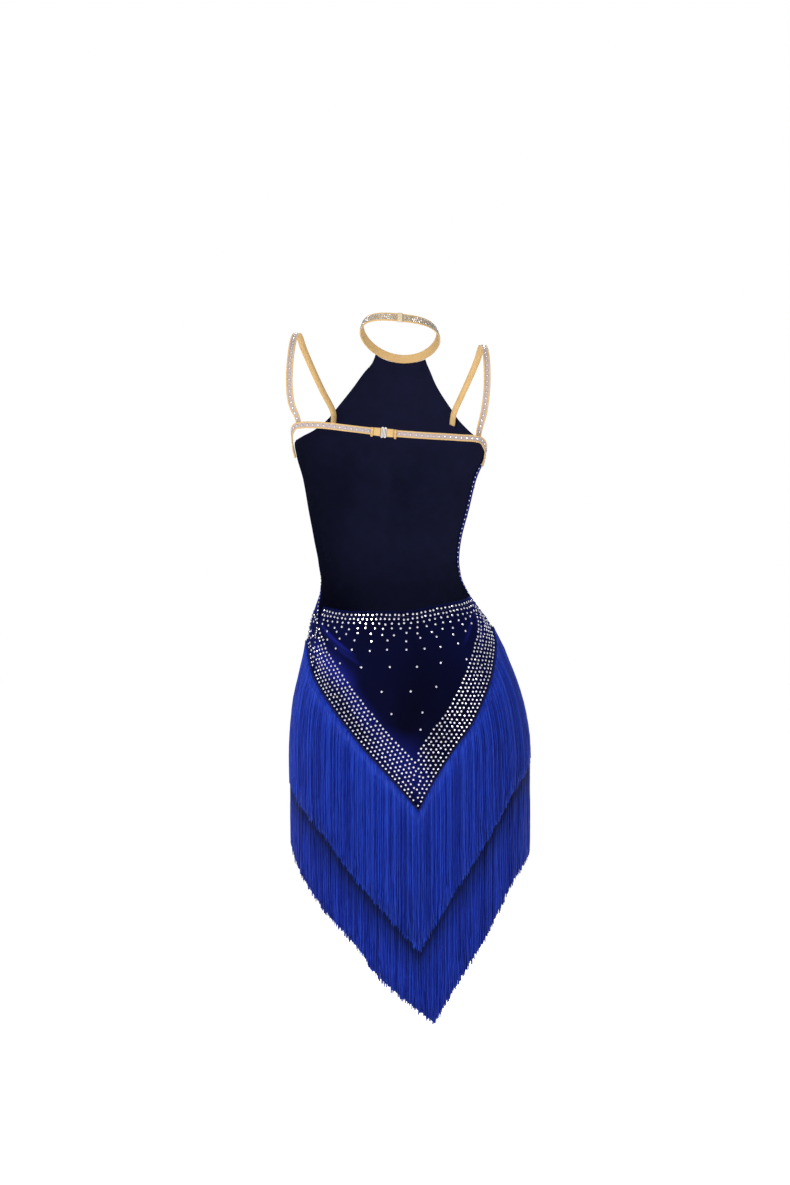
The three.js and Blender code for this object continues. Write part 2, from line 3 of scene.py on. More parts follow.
import bpy
import numpy as np
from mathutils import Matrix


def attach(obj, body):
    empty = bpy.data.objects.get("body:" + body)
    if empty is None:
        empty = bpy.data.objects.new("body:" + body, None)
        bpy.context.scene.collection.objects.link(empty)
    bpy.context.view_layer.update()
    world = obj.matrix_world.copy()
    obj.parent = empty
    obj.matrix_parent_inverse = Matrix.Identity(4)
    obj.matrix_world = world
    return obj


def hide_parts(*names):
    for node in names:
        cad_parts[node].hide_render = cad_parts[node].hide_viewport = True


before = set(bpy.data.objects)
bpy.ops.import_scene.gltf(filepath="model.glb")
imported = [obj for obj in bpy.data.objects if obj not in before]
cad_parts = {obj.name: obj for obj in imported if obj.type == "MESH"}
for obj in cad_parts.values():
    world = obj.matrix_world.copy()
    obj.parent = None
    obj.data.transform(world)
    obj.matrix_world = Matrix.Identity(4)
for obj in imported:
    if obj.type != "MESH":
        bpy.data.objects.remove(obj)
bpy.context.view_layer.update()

MM = 0.001  # metres in a millimetre
chance = np.random.default_rng(7)  # every uneven thing draws from this one


def table(columns, *rows):
    """A short table, as {column: its values}."""
    return dict(zip(columns.split(), np.array(rows, float).T))


# ---------------------------------------------------------------- driving dimensions, as in the solids

VELVET_THICK = 1.4
UNDER_THICK = 1
SEAM = 0.3  # gap between two pieces that are sewn together
LAY = 0.5  # how far a tape is kept off the curved cloth that it lies on
STRAP_WIDTH = 10
FOLD_LENGTH = 9  # how far a strap is doubled back where the clasp holds it
FOLD = {"low": 0.6, "high": 2.1, "flare": 0.18}  # its heights over the strap, and by what share it is wider
NECK = {
    "middle": 15, "half": 60.5, "back": 50, "front": 62, "lean": 4, "roll": -0.096, "tall": 12, "thick": 2,
}
NECK_RISE = {"back": 29.5, "fall": 54, "power": 1.5}  # its height at the back, and its fall to the front
NECK_TAB = {"width": 7, "tall": 14, "thick": 1.6, "off": 0.7}
TAPE = {"tall": 8, "thick": 1.2, "shown": 3}  # the strip that a fringe hangs from, and how much of it shows
CLASP = {"plate": 4.1, "tall": 16, "thick": 2.8, "bar": 1.8}  # bar: how wide each bar of a plate is
KEEPER = {"away": 12, "wide": 4, "wall": 0.6, "deep": 1.9, "tall": 5.75, "tail": 2.4}
RIGHT_SEAM = 79
LEFT_SEAM = 296.5
BACK = LEFT_SEAM - 360, RIGHT_SEAM  # the turns where the back begins and ends
FRONT = RIGHT_SEAM, LEFT_SEAM
SEAM_TURN = 0.1  # half the seam's gap, in degrees
HIP_DROP = 620  # where the distance round the dress is measured

# Horizontal sections from the neck down to the lowest hem. half: half the width. back and front: how far the
# cloth lies behind and in front of the line of the shoulders.
FIGURE = table(
    "drop middle half back front",
    (20, 15, 60.5, 50, 62),
    (32, 14.2, 67, 52, 63.5),
    (44, 11.6, 79, 60, 67.5),
    (60, 9, 92, 70, 73),
    (110, 4, 130, 88, 87),
    (150, 1, 146, 93, 95),
    (175, 1, 142, 92, 98),
    (210, -1, 130.5, 89, 99),
    (255, -2.5, 121, 84, 97),
    (300, -4, 111, 78, 91),
    (335, -2, 106, 75, 87),
    (355, 1.5, 105.5, 75, 87),
    (375, 5.5, 110, 79, 90),
    (400, 10, 122, 88, 94),
    (420, 14, 132.5, 94, 97),
    (450, 18.5, 142, 103, 100),
    (480, 22.5, 149, 110, 102),
    (510, 25.5, 158, 115, 103),
    (540, 27, 166, 118, 103),
    (570, 28.5, 171, 120, 103),
    (600, 29.5, 174, 121, 103),
    (640, 30, 175, 121, 103),
    (1040, 31, 174.5, 121, 103),
)
CUP = {"away": 68, "drop": 222, "wide": 46, "tall": 48, "deep": 27}

# Soft ridges of the stretched velvet, and with a height below 0 the troughs beside them.
CREASES = table(
    "from_turn from_drop to_turn to_drop wide high",
    # the drag folds that run down from the two corners of the back
    (297, 424, 329, 472, 4.6, 2.7),
    (300, 462, 324, 545, 11, 1.6),
    (73, 398, 61, 452, 6, 1.6),
    (63, 402, 44, 472, 7, 1.3),
    (300, 436, 327, 484, 5, -1.2),
    (304, 414, 342, 454, 5, 0.9),
    (306, 440, 334, 512, 4, 0.6),
    (68, 400, 53, 462, 3.5, -0.7),
    (50, 405, 33, 455, 4, 0.5),
    # the front: drawn in at the waist, and pulled from the underarms towards the cups
    (95, 338, 128, 352, 5, 1.2),
    (100, 356, 142, 362, 6, 1.0),
    (262, 334, 226, 350, 5, 1.1),
    (258, 358, 218, 366, 6, 1.0),
    (98, 196, 124, 214, 5, 1.1),
    (262, 190, 238, 212, 5, 1.2),
    (104, 386, 128, 432, 8, 1.1),
    (256, 392, 232, 438, 8, 1.2),
    (172, 246, 176, 300, 6, 0.9),
    (188, 250, 184, 306, 6, 0.8),
)
# Where a painted sheen turns the velvet blue, with paler painted highlights on fold crests. high: how
# strongly.
PAINTED_SHEEN_STROKES = table(
    "from_turn from_drop to_turn to_drop wide high",
    (286, 446, 332, 520, 15, 0.76),
    (318, 486, 350, 606, 12, 0.42),
    (296, 419, 332, 475, 2.4, 0.75),
    (312, 452, 336, 488, 3.0, 0.3),
    (344, 580, 372, 690, 20, 0.42),
    (352, 568, 366, 640, 26, 0.12),
    (70, 404, 50, 470, 4, 0.5),
    (60, 404, 36, 462, 3, 0.3),
    (236, 150, 240, 330, 26, 0.3),
    (250, 330, 205, 440, 24, 0.34),
    (196, 420, 176, 520, 30, 0.26),
    (128, 180, 120, 320, 24, 0.26),
)
TURN_MM = 2.4  # one degree of turn at the hips, for measuring along a crease

# The side edges of the front panel, from the neckband to the side seams.
SIDE_EDGE = table(
    "drop right left",
    (20, 142, 218),
    (60, 140, 220),
    (110, 133, 226),
    (132, 125, 235),
    (145, 116, 250),
    (153, 106, 262),
    (162, 91, 264),
    (170, 79, 264),
    (180, 77, 264),
    (200, 74, 263),
    (300, 73, 263),
    (340, 74, 265),
    (365, 76, 272),
    (385, 79, 286),
    (402, 79, 296.5),
    (470, 79, 296.5),
)
# The front panel follows the neckband down to the first level and its own hem from the second one on.
TOP_REACH = 110
HEM_REACH = 300

BACK_NECK = table("turn drop", (-63.5, 400), (-30, 407), (0, 407), (35, 396.5), (79, 385))

# The two tiers of fringe, each from its point at the back. away: degrees from the point. shift: of its top.
# lift: how far out its tape's face is. drape: how far it then comes clear of what is under it.
UPPER = {
    "apex": 4,
    "shift": 0,
    "lift": LAY + TAPE["thick"],
    "drape": 0.6,
    "right": table(
        "away top hem",
        (0, 699, 904),
        (7, 658, 868),
        (17.5, 610, 817),
        (28, 574, 773),
        (41, 528, 720),
        (54, 491, 675),
        (68.5, 457, 648),
        (85, 428, 628),
        (130, 478, 690),
        (176, 530, 744),
    ),
    "left": table(
        "away top hem",
        (0, 699, 904),
        (13, 653, 859),
        (26, 611, 816),
        (38, 572, 775),
        (51, 535, 733),
        (68, 498, 697),
        (93, 448, 660),
        (140, 489, 702),
        (184, 530, 744),
    ),
}
LOWER = {
    "apex": 11,
    "shift": -TAPE["tall"],
    "lift": LAY,
    "drape": 0,
    "right": table(
        "away top hem",
        (0, 795, 1009),
        (5, 770, 984),
        (15, 723, 937),
        (25, 683, 897),
        (35, 640, 854),
        (45, 600, 814),
        (54, 578, 792),
        (77, 553, 767),
        (124, 590, 804),
        (169, 635, 849),
    ),
    "left": table(
        "away top hem",
        (0, 795, 1009),
        (12, 766, 980),
        (26.5, 728, 942),
        (38.5, 682, 896),
        (50, 651, 865),
        (69.5, 600, 814),
        (87.5, 558, 772),
        (100, 537, 751),
        (145, 590, 804),
        (191, 635, 849),
    ),
}

# The paths of the straps: x, y and the drop.
SHOULDER_STRAPS = {
    "right": [
        (139.5, -71, 110), (143.5, -72, 72), (143, -52, 29), (138, 0, 9), (131, 30, 30), (119, 45, 58),
        (107, 52, 84),
    ],
    "left": [
        (-145.5, -69, 100), (-149, -70, 66), (-145, -48, 11), (-138, 0, -9), (-130, 30, 12), (-117, 45, 42),
        (-102, 52, 74),
    ],
}
STRAP_JOINT = {"right": 142, "left": 130.5, "below": 4, "above": 9, "inside": 3.8}
STRAP_FRONT = {  # turn, drop and how far out
    "right": [(132, 106, -4.5), (137, 124, -4.3)],
    "left": [(227.5, 104, -5), (222, 122, -4.8)],
}
BACK_STRAPS = {
    "right": [
        (-4.4, -94, 144), (50, -96, 148), (100, -85, 150.5), (134, -71, 153.5), (141.5, -56, 163),
        (142, -30, 172),
    ],
    "left": [
        (-13.6, -94, 143), (-60, -95, 137.5), (-105, -83, 132), (-138, -68.5, 132.5), (-144.5, -54, 138),
        (-146, -18, 150),
    ],
}
BACK_STRAP_END = {
    "right": [(79.5, 179, 1.7), (82, 190, 1.7)],
    "left": [(268, 163, 1.7), (266, 176, 1.7)],
}

# ---------------------------------------------------------------- sizes of the finer form

ROUND_EDGE = 3  # a cloth is this many times as thick as its edge bulges
COLUMNS = {"front": 130, "back": 200, "under_back": 90, "under_front": 100, "tape": 160}
# How many points there are on the lines that things are placed along or measured by.
POINTS = {"line": 300, "row": 200, "hips": 400, "round": 900, "neck": 1440, "span": 40}
ROWS = {"back": 110, "under": 16, "tape": 5}
FRONT_ROW = 4  # the height of a row of the front panel's mesh

# loose: in pitches. thin and thick: the least and most of the radius. taper: the share that a tip loses.
STRAND = {
    "pitch": 1.9, "radius": 0.78, "sides": 4, "joints": 13, "apart": 0.95,
    "thin": 0.85, "thick": 1.1, "loose": 0.3, "flick": 1.2, "taper": 0.5,
}
LAYERS = (0.0, 0.3, 0.7, 1.0)  # how far the strands of each layer, from the inmost one, cling together
INMOST = {"stout": 1.5, "short": 0.85}  # how much stouter the inmost strands are, and how unevenly they end
# Where along a strand, as a share of it, its lock pulls it in, its tip flicks aside and it narrows.
BEGINS = {"pull": 0.6, "flick": 0.8, "taper": 0.93}
SPREAD_BY = 0.2  # where along a strand its layer has come clear of the one under it
DRAPED = 3  # a tier comes clear of what is under it in the first of so many parts of its length
WAVES = table("reach half_turns phases", (0.6, 3.2, 1), (0.35, 7, 2))  # a strand's slow and quick sway
RIPPLE = {"reach": 0.3, "half_turns": 5, "phases": 1.7}  # its sway outwards
SHELTER = 70  # how far below the upper hem the lower tier lies in its painted shadow
# Strands cling together in locks towards their ends. pull: how far they close up. ragged: how much shorter a
# lock's outer strands end. uneven and stray: by how much locks and single strands end apart. level: the share
# of their end that a lock's strands have in common. shift and tone: how far locks differ in place and tone.
LOCK = {
    "wide": 4.4, "pull": 0.3, "ragged": 1.8, "uneven": 2, "stray": 8, "longer": 7.5,
    "level": 0.4, "shift": 0.4, "tone": 0.12,
}

STONE = {"band": 3.5, "strap": 3.4, "edge": 2.7, "neck": 2.75}  # diameters
GEM_SIDES = 8
GEM_RINGS = ((1.0, 0.0, 0.0), (1.0, 0.13, 0.0), (0.58, 0.32, 0.5))  # share of the radius, height, shift round
GEM_TILT = 0.13
STONE_OFF = 0.02  # how little it stands off the velvet
# The rhinestone band along the edge above the fringe. over: by how many degrees a row may pass its arm's end.
BAND = {"rows": 7, "pitch": 6.2, "first": 4.2, "along": 6.8, "loose": 0.45, "first_loose": 0.25, "over": 0.9}
IN_STEP = 40, 330  # the turns where the rows of its right and left arm are in step
# Rows of stones under the back neckline, and from the front's top, which thin out downwards.
NECK_ROWS = table(
    "below along",
    (5, 6.6),
    (11.2, 6.8),
    (17.8, 9.5),
    (25, 13),
    (33, 18),
    (43, 25),
    (56, 27),
    (81, 40),
    (115, 43),
    (147, 42),
    (180, 60),
)
# margin: degrees from the sides. loose: in pitches. starts: where in a pitch every third row begins.
BACK_ROWS = {"margin": 1.5, "wider": 1, "loose": 0.06, "starts": (0.5, 0.15, 0.8)}
FRONT_ROWS = {"margin": 4, "wider": 1.1, "loose": 0.07, "starts": (0.5, 0.2, 0.75), "top": 24, "taller": 1.35}
NECK_ROWS_END = 412  # down to here the neckline's rows run on over the band
SIDE_ROW = {"levels": (28, 452), "inside": 4, "pitch": 7.2}  # the small stones down each side of the front
SPARSE = {"turns": 9, "missing": 0.45}  # the band's stones thin out just in front of the side seams
APART = {"band": 4.7, "edge": 4}  # the least between two stones
CLEAR = {"edge": 3.5, "seam": 2, "band": 3}  # no stones this close
STRAP_STONES = {"pitch": 8.5, "back": 18, "shoulder": 16}  # back and shoulder: none this close to the start
# from_tab: where the neckband's stones stop, in half widths of the tab
NECK_STONES = {"rows": (3.1, 0.1, -2.9), "between": 0.25, "off": 0.1, "from_tab": 1.4}
# Threads. hem: how far in from a free edge they run. tape: how far above the tape of the upper tier.
STITCH = {"long": 2.6, "pitch": 3.6, "thick": 0.5, "sunk": 0.35, "hem": 8.1, "tape": 1.4, "start": 0.2}
STITCH_JOINTS = 5
SIDE_HEM_LEVELS = 24, 440
# Threads across a strap, three side by side. reach: how far apart they are, in the strap's widths.
TACK = {"from_fold": 6.5, "from_end": 3, "apart": 1.6, "reach": 0.32}

STATION = 2.5  # from one section of a strap to the next
# Which way a strap faces: a back strap by its place, and a shoulder strap over the chest.
BLADE_WAY = (0.35, 1, 0)
CHEST_WAY = {"right": (0.6, 0.78, 0.15), "left": (-0.6, 0.78, 0.15)}
# A shoulder strap faces up on the shoulder and level this far from it. This far over its joint with the back
# strap it starts to turn to that strap's way, within the turn.
SHOULDER_WAY = {"level": 55, "joint": 40, "turn": 30}
# A strap's section: across as a share of its width, and height. The outer face has raised, bound edges.
STRAP_SECTION = np.array(
    [
        (-0.5, 0.1), (-0.48, 0.75), (-0.43, 0.95), (-0.35, 0.9), (-0.3, 0.5),
        (0.3, 0.5), (0.35, 0.9), (0.43, 0.95), (0.48, 0.75), (0.5, 0.1), (0.47, -0.8), (-0.47, -0.8),
    ]
)
NET_FACE = 4  # the face between the two bound edges
FOLD_SECTION = np.array([(-0.5, 0.0), (-0.5, 0.7), (-0.46, 1.0), (0.46, 1.0), (0.5, 0.7), (0.5, 0.0)])
# A keeper's loop and tail. square: 1 would be an ellipse. flat: the share of its width that isn't rounded.
KEEPER_FORM = {"square": 0.35, "flat": 0.8, "joints": 40, "tail_joints": 6, "tail_top": 0.6, "tail_half": 0.7}
TAIL_WIDTHS = table("height share", (-KEEPER["tail"], 0.55), (-KEEPER["tail"] + 1, 0.85), (0, 1))
TAIL_CORNERS = np.array(
    [(-1, -0.8), (-0.8, -1), (0.8, -1), (1, -0.8), (1, 0.8), (0.8, 1), (-0.8, 1), (-1, 0.8)]
)
CLASP_JOINTS = {"round": 64, "bar": 10}
# The sections of the neckband and its tab, from the top: height as a share of all, and how far they puff out.
NECK_SECTION = table(
    "height puff", (0.5, -0.3), (0.46, 0.25), (0.4, 0.1), (0, 0), (-0.4, 0.1), (-0.46, 0.25), (-0.5, -0.3)
)
TAB_SECTION = table("height puff", (0.5, -0.4), (0.44, 0), (0.2, 0.1), (-0.2, 0.1), (-0.44, 0), (-0.5, -0.4))
NECK_FORM = {"gap": 0.2, "joints": 180, "tab_joints": 12, "rim": 0.3, "puff_inside": 0.5}  # gap: in degrees

# ---------------------------------------------------------------- the camera, made first

CAMERA = {"x": 7.5, "y": -5000, "z": -379, "view_height": 1777.5}
SENSOR = 36
CLIP_END = 50  # metres

camera = bpy.data.objects.new("camera", bpy.data.cameras.new("camera"))
bpy.context.scene.collection.objects.link(camera)
camera.location = [CAMERA[axis] * MM for axis in "xyz"]
camera.rotation_euler = (math.radians(90), 0, 0)
camera.data.sensor_width = SENSOR
camera.data.lens = SENSOR * -CAMERA["y"] / CAMERA["view_height"]
camera.data.clip_end = CLIP_END
bpy.context.scene.camera = camera

# ---------------------------------------------------------------- the dress's surface


def smooth(value, low, high):
    """0 up to low, 1 from high, and an even rise between them."""
    t = np.clip((value - low) / (high - low), 0, 1)
    return t * t * (3 - 2 * t)


def unit(vectors):
    return vectors / np.linalg.norm(vectors, axis=-1, keepdims=True)


def dot(first, second):
    return (first * second).sum(-1)


def wrapped(turn):
    """The same turn, between -180 and 180 degrees."""
    return (turn + 180) % 360 - 180


def length_along(points):
    """How far along a line each of its points is."""
    return np.concatenate([[0], np.cumsum(np.linalg.norm(np.diff(points, axis=0), axis=1))])


def turns_within(ends, margin, count):
    """Even turns between two ends, kept a margin inside them."""
    return np.linspace(ends[0] + margin, ends[1] - margin, count)


def between(first, last, rows):
    """Rows of values from a first to a last one."""
    return first + (last - first) * np.linspace(0, 1, rows)[:, None]


def look_up(rows, key, column, at):
    """A column of a table between its rows, on a smooth curve that never overshoots them."""
    x, y = rows[key], rows[column]
    secant = np.diff(y) / np.diff(x)
    product, total = secant[:-1] * secant[1:], secant[:-1] + secant[1:]
    inner = np.divide(2 * product, total, out=np.zeros_like(product), where=product > 0)
    slope = np.concatenate([secant[:1], inner, secant[-1:]])
    i = np.clip(np.searchsorted(x, at) - 1, 0, len(x) - 2)
    span = x[i + 1] - x[i]
    t = np.clip((at - x[i]) / span, 0, 1)
    even = y[i] + (y[i + 1] - y[i]) * t * t * (3 - 2 * t)
    return even + span * t * (1 - t) * ((1 - t) * slope[i] - t * slope[i + 1])


def skin(turn, drop):
    """The garment's surface, with no thickness."""
    turn, drop = np.broadcast_arrays(np.asarray(turn, float), np.asarray(drop, float))
    angle = np.radians(turn)
    middle, half, back, front = (look_up(FIGURE, "drop", key, drop) for key in list(FIGURE)[1:])
    aside = half * np.sin(angle)
    behind = np.cos(angle) > 0
    deep = np.where(behind, back, front)
    bump = -(((np.abs(aside) - CUP["away"]) / CUP["wide"]) ** 2) - ((drop - CUP["drop"]) / CUP["tall"]) ** 2
    cup = np.where(behind, 0, CUP["deep"] * np.exp(bump) * np.cos(angle) ** 2)
    return np.stack([middle + aside, cup - deep * np.cos(angle), -drop], -1)


def strokes(rows, turn, drop):
    """The sum of soft strokes over the cloth, each strongest halfway along."""
    round_turn = np.asarray(turn, float) % 360
    height = np.zeros(np.broadcast(round_turn, drop).shape)
    for from_turn, from_drop, to_turn, to_drop, wide, high in zip(*rows.values()):
        along_turn, along_drop = (to_turn - from_turn) * TURN_MM, to_drop - from_drop
        length = math.hypot(along_turn, along_drop)
        d_turn, d_drop = wrapped(round_turn - from_turn) * TURN_MM, drop - from_drop
        share = np.clip((d_turn * along_turn + d_drop * along_drop) / length**2, 0, 1)
        aside = (d_turn * along_drop - d_drop * along_turn) / length
        height += high * np.sin(np.pi * share) * np.exp(-((aside / wide) ** 2))
    return height


def slopes(turn, drop):
    """How the surface's points move for each degree round and each millimetre down."""
    step = 0.05
    around = (skin(turn + step, drop) - skin(turn - step, drop)) / (2 * step)
    down = (skin(turn, drop + step) - skin(turn, drop - step)) / (2 * step)
    return around, down


def on_dress(turn, drop, out=0.0):
    """A point that stands out from the surface, and the directions round the dress and out of it."""
    turn, drop = np.asarray(turn, float), np.asarray(drop, float)
    around, down = slopes(turn, drop)
    normal = unit(np.cross(down, around))
    lift = np.asarray(out + strokes(CREASES, turn, drop))[..., None]
    return skin(turn, drop) + normal * lift, unit(around), normal


def tier_line(tier, column, turn):
    """The drop of a tier's edge or hem, all round the dress."""
    away = (np.asarray(turn, float) - tier["apex"]) % 360
    right = look_up(tier["right"], "away", column, away)
    left = look_up(tier["left"], "away", column, 360 - away)
    return np.where(away <= 180 - tier["apex"], right, left)


def yoke_hem(turn):
    return tier_line(UPPER, "top", turn) + TAPE["tall"]


def neck_place(turn, height, out):
    """A point on the neckband at a turn, a height from its middle line and a distance out of it."""
    angle = np.radians(turn)
    rise = NECK_RISE["back"] - NECK_RISE["fall"] * ((1 - np.cos(angle)) / 2) ** NECK_RISE["power"]
    grow = out - NECK["lean"] * (0.5 + height / NECK["tall"])
    deep = np.where(np.cos(angle) > 0, NECK["back"], NECK["front"])
    x = (NECK["half"] + grow) * np.sin(angle)
    z = rise + NECK["roll"] * NECK["half"] * np.sin(angle) + height
    return np.stack(np.broadcast_arrays(NECK["middle"] + x, -(deep + grow) * np.cos(angle), z), -1)


def side_turns(level):
    """The turns of the front panel's right and left edges."""
    return [look_up(SIDE_EDGE, "drop", side, level) for side in ("right", "left")]


def front_drop(level, turn):
    """The drop of a place on the front panel, whose top and last levels follow the neckband and the hem."""
    first, last = SIDE_EDGE["drop"][[0, -1]]
    top = NECK["tall"] / 2 + SEAM - neck_place(turn, 0, 0)[..., 2] - first
    hem = yoke_hem(turn) - last
    return level + top * (1 - smooth(level, first, TOP_REACH)) + hem * smooth(level, HEM_REACH, last)


# ---------------------------------------------------------------- meshes


class Body:
    """Points in millimetres, each with three values, and faces, each with the number of its material."""

    def __init__(self):
        self.points, self.faces, self.values, self.count = [], [], [], 0

    def add(self, points, faces, values=None, slots=None):
        """faces: arrays of one face a row. slots: a material's number for each array."""
        points = np.asarray(points, float).reshape(-1, 3)
        values = np.zeros_like(points) if values is None else np.asarray(values, float).reshape(-1, 3)
        volume = 0
        for face in faces:
            corners = points[face] - points[0]
            for k in range(1, face.shape[1] - 1):
                volume += np.einsum("ij,ij->", corners[:, 0], np.cross(corners[:, k], corners[:, k + 1]))
        for k, face in enumerate(faces):
            turned = face if volume > 0 else face[:, ::-1]
            self.faces.append((turned + self.count, 0 if slots is None else slots[k]))
        self.points.append(points)
        self.values.append(values)
        self.count += len(points)

    def build(self, name, materials, slot, node=None, smooth_faces=True):
        """The body as an object that rides with the dress and may stand for a node."""
        mesh = bpy.data.meshes.new(name)
        corners = np.concatenate([face.ravel() for face, _ in self.faces])
        sizes = np.concatenate([np.full(len(face), face.shape[1]) for face, _ in self.faces])
        slots = np.concatenate([np.full(len(face), number) for face, number in self.faces])
        starts = np.concatenate([[0], np.cumsum(sizes)[:-1]])
        mesh.vertices.add(self.count)
        mesh.loops.add(len(corners))
        mesh.polygons.add(len(sizes))
        lay = mesh.attributes.new("lay", "FLOAT_VECTOR", "POINT")
        for data, key, numbers, kind in (
            (mesh.vertices, "co", np.concatenate(self.points) * MM, np.float32),
            (mesh.loops, "vertex_index", corners, np.int32),
            (mesh.polygons, "loop_start", starts, np.int32),
            (mesh.polygons, "material_index", slots, np.int32),
            (mesh.polygons, "use_smooth", np.full(len(sizes), smooth_faces), bool),
            (lay.data, "vector", np.concatenate(self.values), np.float32),
        ):
            data.foreach_set(key, numbers.astype(kind).ravel())
        mesh.update(calc_edges=True)
        for material in materials:
            mesh.materials.append(material)
        made = bpy.data.objects.new(name, mesh)
        bpy.context.scene.collection.objects.link(made)
        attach(made, "root")
        if node:
            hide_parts(node)


def add_shell(body, outer, inner, rim, values, inside=0):
    """A closed thin wall between two matching grids of points, its edge rounded out by rim.
    inside: the number of its inner face's material."""
    rows, columns = outer.shape[:2]
    index = np.arange(rows * columns).reshape(rows, columns)
    border = np.concatenate([index[0, :-1], index[:-1, -1], index[-1, :0:-1], index[:0:-1, 0]])
    middle = (outer + inner) / 2
    r, c = np.divmod(border, columns)
    inwards = middle[np.clip(r, 1, rows - 2), np.clip(c, 1, columns - 2)]
    edge = middle[r, c] + unit(middle[r, c] - inwards) * rim
    edge_index = 2 * rows * columns + np.arange(len(border))
    around, edge_around = np.roll(border, -1), np.roll(edge_index, -1)
    below, around_below = border + rows * columns, around + rows * columns
    face = np.stack([index[:-1, :-1], index[1:, :-1], index[1:, 1:], index[:-1, 1:]], -1).reshape(-1, 4)
    faces = [
        face,
        (face + rows * columns)[:, ::-1],
        np.stack([below, edge_index, edge_around, around_below], -1),
        np.stack([edge_index, border, around, edge_around], -1),
    ]
    flat = values.reshape(-1, 3)
    points = np.concatenate([outer.reshape(-1, 3), inner.reshape(-1, 3), edge])
    body.add(points, faces, np.concatenate([flat, flat, flat[border]]), (0, inside, 0, 0))


def add_tubes(body, rings, values=None, slots=(0,), closed=False):
    """Closed tubes from rings of points: an array of tube, ring, corner and xyz. A closed one has no ends."""
    tubes, count, sides = rings.shape[:3]
    index = np.arange(tubes * count * sides).reshape(tubes, count, sides)
    following = np.roll(index, -1, axis=2)
    upto = None if closed else -1
    here, there = index[:, :upto], np.roll(index, -1, axis=1)[:, :upto]
    here_next, there_next = following[:, :upto], np.roll(following, -1, axis=1)[:, :upto]
    walls = np.stack([here, there, there_next, here_next], -1)
    faces = [walls[:, :, side].reshape(-1, 4) for side in range(sides)]
    numbers = [slots[side % len(slots)] for side in range(sides)]
    if not closed:
        faces += [index[:, 0], index[:, -1, ::-1]]
        numbers += [slots[0], slots[0]]
    body.add(rings, faces, values, numbers)


def gem():
    """A cut stone of diameter 1 with a flat back: its points and faces."""
    low = np.arange(GEM_SIDES)
    points = []
    for reach, height, shift in GEM_RINGS:
        angle = (low + shift) * 2 * np.pi / GEM_SIDES
        rise = np.full(GEM_SIDES, height)
        points.append(np.stack([0.5 * reach * np.cos(angle), 0.5 * reach * np.sin(angle), rise], -1))
    girdle, crown = low + GEM_SIDES, low + 2 * GEM_SIDES
    low_next, girdle_next, crown_next = (np.roll(ring, -1) for ring in (low, girdle, crown))
    faces = [
        np.stack([low, low_next, girdle_next, girdle], -1),
        np.stack([girdle, girdle_next, crown], -1),
        np.stack([crown, girdle_next, crown_next], -1),
        crown[None],
        low[None, ::-1],
    ]
    return np.concatenate(points), faces


GEM_POINTS, GEM_FACES = gem()


def add_gems(body, places, around, normal, diameter):
    """Cut stones at places, lying square to normal, each turned its own way.
    Own values: two random shares, and 1 at a stone's table but 0 round its girdle, for the painted shade."""
    count = len(places)
    spin = chance.uniform(0, 2 * np.pi, count)[:, None]
    first = around * np.cos(spin) + np.cross(normal, around) * np.sin(spin)
    second = np.cross(normal, first)
    tilt = chance.normal(0, GEM_TILT, (count, 2, 1))
    up = unit(normal + first * tilt[:, 0] + second * tilt[:, 1])
    x, y, z = (GEM_POINTS * diameter).T[..., None]
    points = places[:, None] + first[:, None] * x + second[:, None] * y + up[:, None] * z
    shift = (np.arange(count) * len(GEM_POINTS))[:, None, None]
    faces = [(face[None] + shift).reshape(-1, face.shape[1]) for face in GEM_FACES]
    values = np.repeat(chance.uniform(0, 1, (count, 3)), len(GEM_POINTS), axis=0)
    values[:, 2] = np.tile(GEM_POINTS[:, 2] == GEM_POINTS[:, 2].max(), count)
    body.add(points, faces, values)


# ---------------------------------------------------------------- materials


